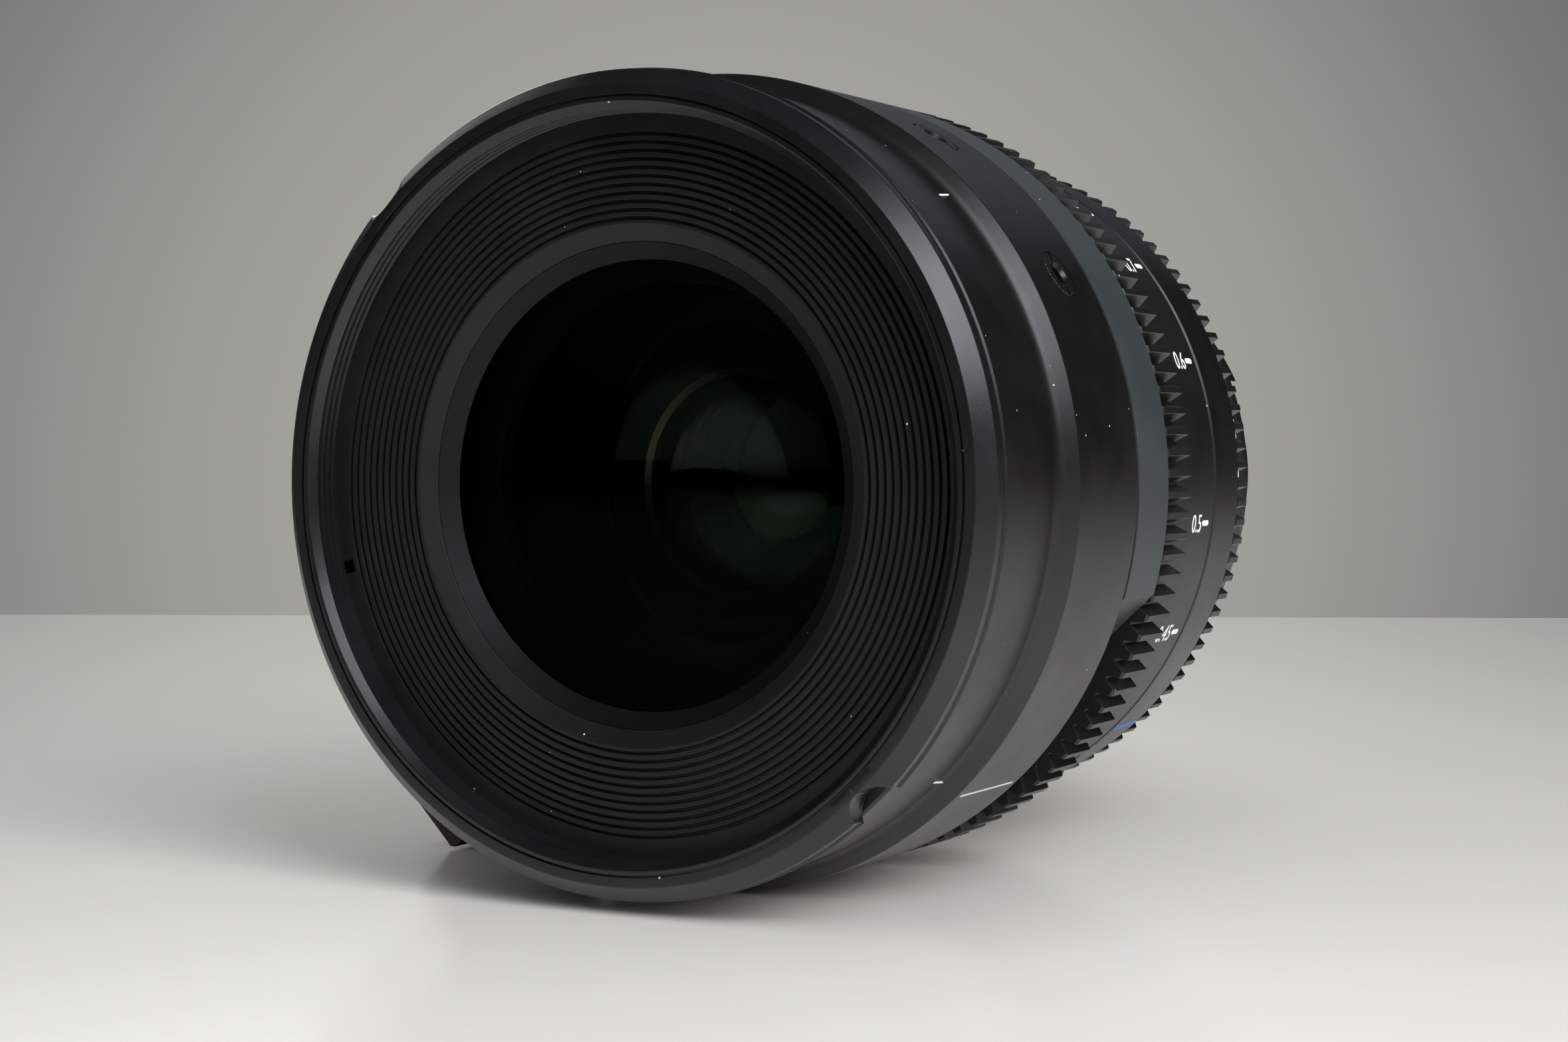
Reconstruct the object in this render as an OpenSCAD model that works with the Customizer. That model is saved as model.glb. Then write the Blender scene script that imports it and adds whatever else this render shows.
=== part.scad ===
// Cinema prime lens with geared focus and iris rings, a breech-lock mount and a support foot.
// Millimetres. The optical axis runs along Y with the front towards -Y, and Z is up.
// The origin is the centre of the mount flange, and the lens lies rolled on its foot.
// Inside lens_axis() the axis is Z, measured from the front face towards the mount.

/* [Lens] */
// Length from the front face to the mount flange
lens_len = 125; // [122:0.5:132]
// Roll of the lens as it lies, clockwise seen from the front
lie_roll = 46.5; // [40:0.5:52]

/* [Front ring] */
// Outside diameter of the front ring, the clamp size for matte boxes
front_d = 95; // [94:0.5:96]
// Wall from the filter thread to the outside
front_wall = 4.5; // [4:0.1:5]
// Depth of the filter thread's form
thread_depth = 0.54; // [0.4:0.02:0.65]
// Bevel from the front face to the land
front_bevel = 2.1; // [1.6:0.1:2.5]
// Width of the land behind the bevel
land_len = 1.8; // [1.6:0.1:2.4]
// Width of the groove in the front face
face_groove = 0.3; // [0.2:0.05:0.5]
// Radius of the two side notches
notch_r = 2.9; // [2.6:0.1:3.2]
// Length of the sleeve that seats in the barrel
sleeve_len = 3; // [2:0.5:4]

/* [Baffle] */
// Depth of the baffle's face behind the front face
baffle_depth = 4.5; // [4.3:0.1:5]
// Number of glare grooves
groove_n = 11; // [8:1:11]
// Plain rim of the baffle outside and inside its grooves
groove_rim = 1; // [0.8:0.05:1.4]
// Width of a glare groove
groove_w = 0.42; // [0.3:0.02:0.55]
// Thickness of the baffle
baffle_t = 2.2; // [1.8:0.1:2.6]
// Inner diameter of the baffle's face
baffle_d = 60; // [59:0.5:60.5]

/* [Front glass] */
// Clear diameter of the front glass
clear_d = 52.1; // [50:0.1:53]
// Diameter of the front glass
glass_d = 56.8; // [56.4:0.1:57.4]
// Depth of the retainer's inner edge behind the front face
retainer_depth = 7.4; // [7:0.1:8]

/* [Barrel] */
// Step from the front ring down to the clamp waist
waist_step = 0.8; // [0.5:0.1:1.1]
// Length of the clamp waist
waist_len = 15.1; // [14:0.1:16]
// Diameter at the front of the second bevel
bevel_d = 95.2; // [94.6:0.1:96]
// Length of the second bevel
bevel_len = 1.3; // [1:0.1:1.6]
// Length of the black band
band_len = 17.2; // [16.6:0.1:19]
// Wall of the barrel at the waist
barrel_wall = 1.6; // [1.2:0.1:1.8]
// Wall of the barrel under the band
band_wall = 3.7; // [3.5:0.1:4]

/* [Shrouds] */
// Length of the slate shrouds
shroud_len = 10; // [9:0.1:11]
// Width across the side flats of the shrouds
flats_w = 83.8; // [80:0.2:86]

/* [Gears] */
// Module of both gears
gear_module = 0.8; // [0.79:0.005:0.81]
// Teeth of the focus gear
focus_teeth = 120; // [119:1:121]
// Teeth of the iris gear
iris_teeth = 110; // [109:1:111]
// Depth of a tooth space
tooth_h = 1.8; // [1.5:0.1:2]
// Width of a tooth at its tip
tooth_tip = 0.9; // [0.6:0.05:1]

/* [Focus ring] */
// Diameter of the nose that turns under the shrouds
nose_d = 90; // [89:0.2:91]
// Length of the focus gear
focus_gear_len = 7.4; // [6.6:0.1:8]
// Length of the distance scale
scale_len = 18.6; // [18:0.1:20]
// Diameter of the distance scale
scale_d = 90.2; // [89.8:0.1:91]
// Turn of the focus ring
focus_turn = 180; // [150:5:180]
// Travel of the focus cell
focus_travel = 8; // [7.6:0.1:8.4]

/* [Middle and iris rings] */
// Length of the fixed ring between focus and iris
mid_len = 9.5; // [9:0.1:10.5]
// Length of the iris gear
iris_gear_len = 3.4; // [3:0.1:4]
// Length of the aperture scale
iris_scale_len = 16.8; // [16:0.1:18]
// Diameter at the front of the aperture scale
iris_step_d = 85; // [83:0.2:85.6]
// Diameter at the rear of the aperture scale
iris_scale_d = 77; // [76.4:0.1:78]
// Turn of the iris ring
iris_turn = 75; // [70:1:76]

/* [Guide tube] */
// Bore of the guide tube
tube_d = 66; // [65.6:0.1:66.4]
// Wall of the guide tube
tube_wall = 3; // [2.8:0.1:3.1]
// Wall of the cam ring
cam_wall = 3.1; // [2.8:0.1:3.2]
// Diameter of a cam roller
roller_d = 3; // [2.6:0.1:3.2]

/* [Iris] */
// Number of iris blades
blade_n = 11; // [9:1:11]
// Radius of the open iris
open_r = 15.5; // [15:0.1:16]
// Width of a blade
blade_w = 7; // [6.6:0.1:7.2]
// Thickness of a blade
blade_t = 0.2; // [0.15:0.01:0.24]
// Step from one blade's level to the next
blade_step = 0.35; // [0.32:0.01:0.38]
// Radius of the blade pivots
pivot_r = 27; // [26.8:0.05:27.2]
// Length of a blade's lever
lever_len = 9; // [8.8:0.05:9.2]
// Swing of a blade from open to stopped down
blade_turn = 30; // [27:0.5:31]

/* [Accessory bushes] */
// Diameter of a bush
bush_d = 6; // [5:0.2:6.4]
// Bore of a bush, for an M3 thread
bush_bore = 2.5; // [2.4:0.05:2.7]
// Angle of the bushes from the lens's top and bottom
bush_angle = 13.5; // [13:0.1:14.5]

/* [Support foot] */
// Width of the foot's stem
foot_w = 8.2; // [8:0.1:8.8]
// Length of the foot's stem along the lens
foot_len = 13; // [12:0.5:14]
// Width of the foot's saddle
saddle_w = 31; // [30.5:0.5:31.5]
// Length of the saddle along the lens
saddle_len = 13; // [12:0.5:14]
// Thickness of the saddle in its middle
saddle_t = 4.8; // [4.5:0.1:5.2]
// Bore of the foot, for a 1/4 inch camera thread
foot_bore = 5.1; // [5:0.05:5.4]
// Depth of that bore
foot_bore_depth = 9; // [8:0.5:10]

/* [Mount] */
// Diameter of the mount's register, the throat of the camera
throat_d = 54; // [53.8:0.05:54]
// Length of the register behind the flange
throat_len = 14; // [12:0.5:15]
// Diameter of the flange
flange_d = 62; // [61:0.5:63]
// Diameter over the four lugs
lug_d = 66; // [65.5:0.1:67]
// Thickness of the flange
flange_t = 4; // [3.6:0.1:4.4]

/* [Clearances] */
// Radial play of turning and sliding fits
run_fit = 0.06; // [0.04:0.01:0.08]
// Gap between the ends of turning and fixed rings
end_gap = 0.3; // [0.25:0.01:0.4]
// Gap of pieces that seat in each other
seat_fit = 0.05; // [0.03:0.01:0.06]
// Side play of pins and rollers in their slots
slot_fit = 0.1; // [0.08:0.01:0.12]

/* [Hidden] */
$fn = 128;

// Overlap of cutting tools and of joined bodies
over = 1;

// Radii of the outside, in mm
front_r = front_d / 2;
filter_r = front_r - front_wall;
thread_r = filter_r - thread_depth;
waist_r = front_r - waist_step;
bevel_r = bevel_d / 2;
body_r = gear_module * (focus_teeth + 2) / 2;
iris_r = gear_module * (iris_teeth + 2) / 2;
nose_r = nose_d / 2;
scale_r = scale_d / 2;
iris_step_r = iris_step_d / 2;
iris_scale_r = iris_scale_d / 2;
shell_r = waist_r - barrel_wall;
band_bore = body_r - band_wall;

// Places along the axis, from the front face
waist_s = front_bevel + land_len;
bevel_s = waist_s + waist_len;
band_s = bevel_s + bevel_len;
shroud_s = band_s + band_len;
gear_s = shroud_s + shroud_len + end_gap;
scale_s = gear_s + focus_gear_len;
mid_s = scale_s + scale_len;
iris_s = mid_s + mid_len + 2 * end_gap;
iris_scale_s = iris_s + iris_gear_len;
rear_s = iris_scale_s + iris_scale_len + end_gap;
mount_s = lens_len - flange_t;
bush_s = band_s + band_len / 2 + 0.6;

// Radii and places of the inner mechanism
tube_ir = tube_d / 2;
tube_or = tube_ir + tube_wall;
cam_ir = tube_or + run_fit;
cam_or = cam_ir + cam_wall;
cell_or = tube_ir - run_fit;
web_t = 4;
web_s = band_s + 3.7;
web_end = web_s + web_t;
tube_flange_t = 3;
tube_flange_r = band_bore - 1;
tube_screw_r = (tube_or + tube_flange_r) / 2;
tube_end = rear_s + 3.6;
cam_s = shroud_s + 6.6;
cam_end = mid_s - 1.3;
roller_r = roller_d / 2;
roller_s = scale_s - 2.2;
focus_s = roller_s - 6.5;
focus_cell_len = 24.5;
slot_half = roller_r + slot_fit;
roller_in = 2.5;
cam_lands = 3;
key_r = 1.5;
key_s = mid_s - 3.6;

// The iris stack, from its cover to its base
pin_r = 1;
actuator_t = 2.8;
actuator_s = iris_s + 0.7;
cover_t = 1.5;
blade_s = actuator_s + actuator_t + end_gap;
base_s = blade_s + blade_n * blade_step + end_gap;
base_t = 1.5;
rear_cell_s = base_s + base_t;
pivot_pin_r = 0.5;
lever_pin_r = 0.45;
lever_start = -90 - blade_turn / 2;
blade_ratio = blade_turn / iris_turn;

// Front group: places and curves of the glass
cell_wall = 3.5;
glass_fit = 0.1;
e1_front_curve = 120;
e1_rear_curve = 70;
e1_t = 4;
cell_r = glass_d / 2 + cell_wall;
e1_s = retainer_depth - sag(e1_front_curve, clear_d / 2);
e1_edge = e1_s + e1_t + sag(e1_rear_curve, glass_d / 2);
e2_r = 25;
e2_front_curve = 90;
e2_rear_curve = 60;
e2_t = 2;
e2_s = e1_edge + 1.6 + sag(e2_front_curve, e2_r) + 0.2;
e2_edge = e2_s + e2_t + sag(e2_rear_curve, e2_r);
e3_r = 22;
e3_front_curve = 55;
e3_rear_curve = 60;
e3_t = 12;
e3_s = e2_edge + 0.2 - sag(e3_front_curve, e3_r);
e4_t = 2;
e4_rear_curve = 150;
cement_gap = 0.02;
e4_s = e3_s + e3_t + cement_gap;
e4_edge = e4_s + e4_t + sag(e4_rear_curve, e3_r);
group_retainer_t = 2;
front_cell_end = e4_edge + group_retainer_t + 0.4;

// Focus group
e5_r = 22;
e5_curve = 70;
e5_t = 8.5;
e5_s = focus_s + 1.5;
e6_front_curve = 70;
e6_rear_curve = 45;
e6_t = 2;
e6_s = e5_s + e5_t + 1;
e6_edge = e6_s + e6_t + sag(e6_rear_curve, e5_r);
e7_r = 20;
e7_front_curve = 50;
e7_rear_curve = 90;
e7_t = 8;
e7_s = e6_edge - sag(e7_front_curve, e7_r) + 0.2;
focus_seat_w = 1.5;
e7_seat = e7_s + e7_t - sag(e7_rear_curve, e7_r - focus_seat_w);

// Rear group
e8_r = 20;
e8_front_curve = 60;
e8_rear_curve = 200;
e8_t = 3;
e8_s = rear_cell_s + 1.5 + sag(e8_front_curve, e8_r);
e9_curve = 60;
e9_t = 9;
e9_s = e8_s + e8_t + 0.5;
e10_r = 19;
e10_curve = 80;
e10_t = 2;
e10_s = e9_s + e9_t + 1.2;
e10_edge = e10_s + e10_t + sag(e10_curve, e10_r);
e11_front_curve = 70;
e11_rear_curve = 120;
e11_t = 7;
e11_s = e10_edge + 0.4 - sag(e11_front_curve, e10_r);
e11_edge = e11_s + e11_t - sag(e11_rear_curve, e10_r);
rear_cell_r = throat_d / 2 - 2.6;

// Sag of a spherical face of radius curve at height r
function sag(curve, r) = curve - sqrt(curve * curve - r * r);
function polar(r, a) = [r * cos(a), r * sin(a)];
function spin(p, a) = [p[0] * cos(a) - p[1] * sin(a), p[0] * sin(a) + p[1] * cos(a)];
// A blade's lever pin, seen from the actuator after it has turned by a
function lever_at(a) = spin([pivot_r, 0] + polar(lever_len, lever_start + blade_ratio * a), -a);

// Lays the lens along Y, rolled as it lies, with the flange at the origin
module lens_axis() {
  rotate([-90, 0, 0])
    rotate([0, 0, lie_roll])
      translate([0, 0, -lens_len])
        children();
}

// Turns +X to an angle clockwise from the lens's top, seen from the front
module clock(angle) {
  rotate([0, 0, angle - 90])
    children();
}

// Turned ring from radius r0 to r1 and from place s0 to s1
module turned(r0, r1, s0, s1) {
  rotate_extrude()
    translate([r0, s0])
      square([r1 - r0, s1 - s0]);
}

// Pin along X from radius r0 to r1 at place s
module radial_pin(r, r0, r1, s) {
  translate([r0, 0, s])
    rotate([0, 90, 0])
      cylinder(r = r, h = r1 - r0);
}

// Spherical glass: a curve above 0 bulges outwards, below 0 is hollow
module glass(r, s, t, front_curve, rear_curve) {
  front_sag = sag(abs(front_curve), r);
  rear_sag = sag(abs(rear_curve), r);
  start = front_curve > 0 ? s : s - front_sag;
  end = rear_curve > 0 ? s + t : s + t + rear_sag;
  difference() {
    intersection() {
      translate([0, 0, start]) cylinder(r = r, h = end - start);
      if (front_curve > 0) translate([0, 0, s + front_curve]) sphere(r = front_curve);
      if (rear_curve > 0) translate([0, 0, s + t - rear_curve]) sphere(r = rear_curve);
    }
    if (front_curve < 0) translate([0, 0, s + front_curve]) sphere(r = -front_curve);
    if (rear_curve < 0) translate([0, 0, s + t - rear_curve]) sphere(r = -rear_curve);
  }
}

// Everything outside a gear's teeth, from place s0 to s1
module gear_spaces(teeth, tip_r, s0, s1) {
  root_r = tip_r - tooth_h;
  step = 360 / teeth;
  tip_half = tooth_tip / 2 / tip_r * 180 / PI;
  root_half = step * 0.42;
  root = polar(root_r, root_half);
  crest = root + (polar(tip_r, tip_half) - root) * (1 + over / tooth_h);
  tooth = [[root[0], -root[1]], [crest[0], -crest[1]], crest, root];
  points = [for (i = [0:teeth - 1], p = tooth) spin(p, i * step)];
  translate([0, 0, s0])
    linear_extrude(s1 - s0)
      difference() {
        circle(r = tip_r + over / 2);
        polygon(points);
      }
}

// Cap screw along Z: its head's underside is at z = 0 and its shank runs to +Z
module cap_screw(size, length) {
  translate([0, 0, -size[2]]) cylinder(r = size[1], h = size[2]);
  cylinder(r = size[0], h = length);
}

// Front ring: turned, with the filter thread inside and two side notches
face_r = front_r - front_bevel;
sleeve_r = shell_r - seat_fit;
groove_r = (face_r + filter_r) / 2 - 0.15;
groove_depth = 0.4;
entry = 0.9;
module front_ring() {
  color("#2b2d30")
    lens_axis()
      difference() {
        clock(0) rotate_extrude()
          polygon([[thread_r, entry], [filter_r + entry - thread_depth, 0], [face_r, 0],
            [front_r, front_bevel], [front_r, waist_s - 0.3], [front_r - 0.3, waist_s],
            [sleeve_r, waist_s], [sleeve_r, waist_s + sleeve_len],
            [baffle_or + seat_fit, waist_s + sleeve_len],
            [baffle_or + seat_fit, baffle_depth], [thread_r, baffle_depth]]);
        translate([0, 0, -over])
          turned(groove_r - face_groove / 2, groove_r + face_groove / 2, 0, over + groove_depth);
        for (side = [90, 270])
          clock(side)
            translate([face_r + notch_r, 0, -over]) cylinder(r = notch_r, h = waist_s + 2 * over);
      }
}

// Grooved baffle behind the filter thread
baffle_or = thread_r + thread_depth;
funnel_r = clear_d / 2 + 2;
funnel_depth = 1.15;
slot_w = 1;
module front_baffle() {
  groove_pitch = (baffle_or - baffle_d / 2 - 2 * groove_rim) / groove_n;
  first_groove = baffle_d / 2 + groove_rim;
  color("#1d1e20")
    lens_axis()
      difference() {
        rotate_extrude()
          difference() {
            polygon([[baffle_d / 2, baffle_depth], [baffle_or, baffle_depth],
              [baffle_or, baffle_depth + baffle_t], [funnel_r, baffle_depth + baffle_t],
              [funnel_r, baffle_depth + funnel_depth]]);
            for (i = [0:groove_n - 1])
              translate([first_groove + i * groove_pitch - groove_w / 2, baffle_depth - over])
                square([groove_w, over + 0.6]);
          }
        for (side = [29.5, 209.5])
          clock(side)
            translate([baffle_or - 1.2, -slot_w / 2, baffle_depth - over])
              cube([over + 1.2, slot_w, over + 1]);
      }
}

// Conical ring that holds the front glass in its cell
module front_retainer() {
  rim = funnel_r - seat_fit;
  color("#3a3c3f")
    lens_axis()
      rotate_extrude()
        polygon([[rim, baffle_depth + funnel_depth + seat_fit], [rim, baffle_depth + baffle_t + seat_fit],
          [glass_d / 2, baffle_depth + baffle_t + seat_fit],
          [glass_d / 2, e1_s + sag(e1_front_curve, glass_d / 2) - seat_fit],
          [clear_d / 2, retainer_depth - seat_fit]]);
}

module element_01() {
  color("#20303a", 0.5)
    lens_axis()
      glass(glass_d / 2, e1_s, e1_t, e1_front_curve, -e1_rear_curve);
}

// Barrel casing: clamp waist, cove, second bevel and black band on an inner web
cove_len = 1.3;
module front_barrel() {
  cove = bevel_r - waist_r;
  cove_points = [for (i = [0:6])
    [waist_r + cove * (1 - cos(15 * i)), bevel_s - cove_len * (1 - sin(15 * i))]];
  color("#18191a")
    lens_axis()
      difference() {
        rotate_extrude()
          polygon(concat([[shell_r, waist_s], [waist_r - 0.3, waist_s], [waist_r, waist_s + 0.3]],
            cove_points,
            [[body_r, band_s], [body_r, shroud_s], [band_bore, shroud_s], [band_bore, web_end],
              [cell_r + seat_fit, web_end], [cell_r + seat_fit, web_s], [band_bore, web_s],
              [band_bore, band_s], [shell_r, bevel_s - cove_len]]));
        for (side = [0, 180], turn = [-bush_angle, bush_angle])
          clock(side + turn) radial_pin(bush_d / 2 + seat_fit, band_bore - over, body_r + over, bush_s);
        for (i = [0:5])
          clock(60 * i) translate([tube_screw_r, 0, web_s + 0.5])
            cylinder(r = tube_screw[0] + screw_play, h = web_t + over);
        for (i = [0:2])
          clock(120 * i + 30) translate([cell_bolt_r, 0, web_s - over])
            cylinder(r = cell_screw[0] + screw_play, h = web_t + over - 0.5);
      }
}

// Threaded bushes flush with the band, two on top and two below, each with a spanner slot
bush_len = 4.2;
bush_mouth = 0.4;
bush_slot_w = 0.4;
bush_slot_depth = 0.7;
module accessory_bushes() {
  color("#17181a")
    lens_axis()
      for (side = [0, 180], turn = [-bush_angle, bush_angle])
        clock(side + turn)
          difference() {
            intersection() {
              radial_pin(bush_d / 2, body_r - bush_len, body_r + over, bush_s);
              translate([0, 0, bush_s - bush_d]) cylinder(r = body_r, h = 2 * bush_d);
            }
            radial_pin(bush_bore / 2, body_r - bush_len - over, body_r + over, bush_s);
            translate([body_r - bush_mouth, 0, bush_s])
              rotate([0, 90, 0])
                cylinder(r1 = bush_bore / 2, r2 = bush_bore / 2 + 2 * bush_mouth, h = 2 * bush_mouth);
            translate([body_r - bush_slot_depth, -bush_d, bush_s - bush_slot_w / 2])
              cube([2 * over, 2 * bush_d, bush_slot_w]);
          }
}

// Slate shrouds over the front of the focus gear, cut off flat at the sides
shroud_groove = 0.6;
module shroud(side) {
  end_s = shroud_s + shroud_len;
  inner = nose_r + end_gap;
  color("#5c666d")
    lens_axis()
      intersection() {
        rotate_extrude()
          polygon([[inner, shroud_s], [body_r - shroud_groove, shroud_s],
            [body_r - shroud_groove, shroud_s + shroud_groove], [body_r, shroud_s + shroud_groove],
            [body_r, end_s], [inner, end_s]]);
        clock(side)
          translate([0, -flats_w / 2, shroud_s - over])
            cube([body_r + over, flats_w, shroud_len + 2 * over]);
      }
}
module top_shroud() { shroud(0); }
module bottom_shroud() { shroud(180); }

// Screws: radius of the shank, radius and height of the head
foot_screw = [1.2, 2.75, 2];
cell_screw = [1, 1.9, 1.6];
tube_screw = [1.2, 2.2, 1.8];
mount_screw = [1, 1.7, 1.2];
screw_play = 0.05;
hex_r = 1.3;
hex_depth = 1;

// Support foot: a saddle on the band and a stem behind it that reaches the table
foot_low = (body_r - foot_w / 2 * sin(lie_roll)) / cos(lie_roll);
saddle_r = body_r + seat_fit;
saddle_x = saddle_r + saddle_t;
saddle_s = bush_s - saddle_len / 2;
foot_joint = 3.7;
foot_s = saddle_s + saddle_len - foot_joint;
screw_seat = body_r + 2.6;
foot_edge = 0.5;
foot_grip = 3.6;
head_play = 0.15;
module lens_foot() {
  color("#211e1d")
    lens_axis()
      clock(180)
        difference() {
          union() {
            translate([saddle_r * 0.8, -saddle_w / 2, saddle_s])
              cube([saddle_x - saddle_r * 0.8, saddle_w, saddle_len]);
            translate([0, 0, foot_s])
              linear_extrude(foot_len)
                polygon([[saddle_r - over, -foot_w / 2], [foot_low - foot_edge, -foot_w / 2],
                  [foot_low, -foot_w / 2 + foot_edge], [foot_low, foot_w / 2], [saddle_r - over, foot_w / 2]]);
          }
          translate([0, 0, saddle_s - over])
            cylinder(r = saddle_r, h = saddle_len - foot_joint + foot_len + 2 * over);
          translate([foot_low + over, 0, foot_s + foot_len / 2])
            rotate([0, -90, 0]) cylinder(r = foot_bore / 2, h = foot_bore_depth + over);
          for (turn = [-bush_angle, bush_angle])
            rotate([0, 0, turn]) {
              radial_pin(foot_screw[0] + 0.4, body_r - over, screw_seat + over, bush_s);
              radial_pin(foot_screw[1] + head_play, screw_seat, foot_low, bush_s);
            }
        }
}

module foot_screws() {
  color("#3c3d3f")
    lens_axis()
      clock(180)
        for (turn = [-bush_angle, bush_angle])
          rotate([0, 0, turn])
            difference() {
              translate([screw_seat, 0, bush_s])
                rotate([0, -90, 0]) cap_screw(foot_screw, screw_seat - body_r + foot_grip);
              radial_pin(hex_r, screw_seat + hex_depth, screw_seat + foot_screw[2] + over, bush_s, $fn = 6);
            }
}

// Cell of the front group, held by its flange in front of the barrel's web
cell_flange_t = 2.5;
cell_flange_r = cell_r + 6.5;
cell_bolt_r = cell_r + 4;
cell_grip = 3;
module front_cell() {
  color("#1c1d1f")
    lens_axis()
      difference() {
        union() {
          turned(e3_r - over, cell_r, baffle_depth + baffle_t + 2 * seat_fit, front_cell_end);
          turned(cell_r - over, cell_flange_r, web_s - cell_flange_t, web_s);
        }
        turned(0, glass_d / 2 + glass_fit, 0, e1_edge + seat_fit);
        turned(0, e2_r - 1.2, e1_edge, e1_edge + 2);
        turned(0, e2_r + glass_fit, e1_edge + 1.6, e2_edge + seat_fit);
        turned(0, e3_r + glass_fit, e2_edge, front_cell_end + over);
        for (i = [0:2])
          clock(120 * i + 30)
            translate([cell_bolt_r, 0, web_s - cell_flange_t - over])
              cylinder(r = cell_screw[0] + screw_play, h = cell_flange_t + 2 * over);
      }
}

module cell_screws() {
  color("#8a8c8f")
    lens_axis()
      for (i = [0:2])
        clock(120 * i + 30)
          translate([cell_bolt_r, 0, web_s - cell_flange_t])
            cap_screw(cell_screw, cell_flange_t + cell_grip);
}

module element_02() {
  color("#2a3b40", 0.5) lens_axis() glass(e2_r, e2_s, e2_t, -e2_front_curve, -e2_rear_curve);
}
module element_03() {
  color("#2a3b40", 0.5) lens_axis() glass(e3_r, e3_s, e3_t, e3_front_curve, e3_rear_curve);
}
module element_04() {
  color("#2a3b40", 0.5) lens_axis() glass(e3_r, e4_s, e4_t, -e3_rear_curve, -e4_rear_curve);
}
module front_group_retainer() {
  color("#1c1d1f")
    lens_axis()
      turned(e3_r - 2.5, e3_r + seat_fit, e4_edge + seat_fit, e4_edge + group_retainer_t);
}

// Guide tube: the spine of the lens, with three straight slots and the iris slot
iris_pin_s = actuator_s + actuator_t / 2;
module guide_tube() {
  slot_len = focus_travel;
  color("#6f7276")
    lens_axis()
      difference() {
        union() {
          turned(tube_ir, tube_or, web_end, tube_end);
          turned(tube_ir, tube_flange_r, web_end, web_end + tube_flange_t);
        }
        for (i = [0:2])
          clock(120 * i) {
            translate([tube_ir - over, -slot_half, roller_s])
              cube([tube_wall + 2 * over, 2 * slot_half, slot_len]);
            for (end = [0, slot_len]) radial_pin(slot_half, tube_ir - over, tube_or + over, roller_s + end);
          }
        clock(0) {
          rotate_extrude(angle = iris_turn)
            translate([tube_ir - over, iris_pin_s - pin_r - slot_fit])
              square([tube_wall + 2 * over, 2 * (pin_r + slot_fit)]);
          for (turn = [0, iris_turn])
            rotate([0, 0, turn])
              radial_pin(pin_r + 2 * slot_fit, tube_ir - over, tube_or + over, iris_pin_s);
        }
        for (i = [0:5])
          clock(60 * i)
            translate([tube_screw_r, 0, web_end - over])
              cylinder(r = tube_screw[0] + screw_play, h = tube_flange_t + 2 * over);
      }
}

module tube_screws() {
  color("#8a8c8f")
    lens_axis()
      for (i = [0:5])
        clock(60 * i)
          translate([tube_screw_r, 0, web_end + tube_flange_t])
            mirror([0, 0, 1]) cap_screw(tube_screw, tube_flange_t + web_t - 1);
}

// Fixed ring between the focus and iris rings, on the guide tube
mid_chamfer = 0.3;
module mid_ring() {
  start = mid_s + end_gap;
  end = start + mid_len;
  color("#18191a")
    lens_axis()
      rotate_extrude()
        polygon([[tube_or + seat_fit, start], [tube_or + 2.6, start], [tube_or + 2.6, start + 3],
          [scale_r - 3, start + 3], [scale_r - 3, start],
          [scale_r - mid_chamfer, start], [scale_r, start + mid_chamfer],
          [iris_r, end], [iris_r - 3, end], [iris_r - 3, start + 6], [tube_or + 2.6, start + 6],
          [tube_or + 2.6, end], [tube_or + seat_fit, end]]);
}

// Rear barrel: tapers to the mount and carries the guide tube's end
module rear_barrel() {
  neck_r = flange_d / 2 + 2;
  seat_r = tube_or + 1.6;
  color("#18191a")
    lens_axis()
      difference() {
        rotate_extrude()
          polygon([[tube_or + seat_fit, rear_s], [iris_scale_r - 0.7, rear_s],
            [iris_scale_r - 0.3, rear_s + 0.4], [seat_r, tube_end], [neck_r, mount_s - 2],
            [neck_r, mount_s - 0.4], [neck_r - 0.4, mount_s],
            [throat_d / 2, mount_s], [throat_d / 2, tube_end + seat_fit],
            [tube_or + seat_fit, tube_end + seat_fit]]);
        for (i = [0:3])
          clock(90 * i + 45)
            translate([mount_bolt_r, 0, mount_s - mount_hole])
              cylinder(r = mount_screw[0] + screw_play, h = mount_hole + over);
      }
}

// Breech-lock mount: flange with four lugs, register and locating notch
lug_span = 38;
mount_bolt_r = flange_d / 2 - mount_screw[1] - 0.2;
mount_sink = mount_screw[2] + 0.1;
mount_grip = 3;
mount_hole = 5;
module mount_flange() {
  color("#b9bcc0")
    lens_axis()
      difference() {
        union() {
          turned(throat_d / 2 - 2.4, flange_d / 2, mount_s, lens_len);
          turned(throat_d / 2 - 2.4, throat_d / 2, lens_len - over, lens_len + throat_len);
          for (i = [0:3])
            clock(90 * i - lug_span / 2)
              rotate_extrude(angle = lug_span)
                translate([flange_d / 2 - over, lens_len - flange_t + 0.8])
                  square([(lug_d - flange_d) / 2 + over, flange_t - 0.8]);
        }
        for (i = [0:3])
          clock(90 * i + 45) {
            translate([mount_bolt_r, 0, mount_s - over])
              cylinder(r = mount_screw[0] + 2 * screw_play, h = flange_t + 2 * over);
            translate([mount_bolt_r, 0, lens_len - mount_sink])
              cylinder(r = mount_screw[1] + screw_play, h = mount_sink + over);
          }
        clock(270) translate([lug_d / 2 - 1.6, -1.5, mount_s - over]) cube([3, 3, flange_t + 2 * over]);
      }
}

module mount_screws() {
  color("#9a9da1")
    lens_axis()
      for (i = [0:3])
        clock(90 * i + 45)
          translate([mount_bolt_r, 0, lens_len - mount_sink])
            mirror([0, 0, 1]) cap_screw(mount_screw, flange_t + mount_grip);
}

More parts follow.
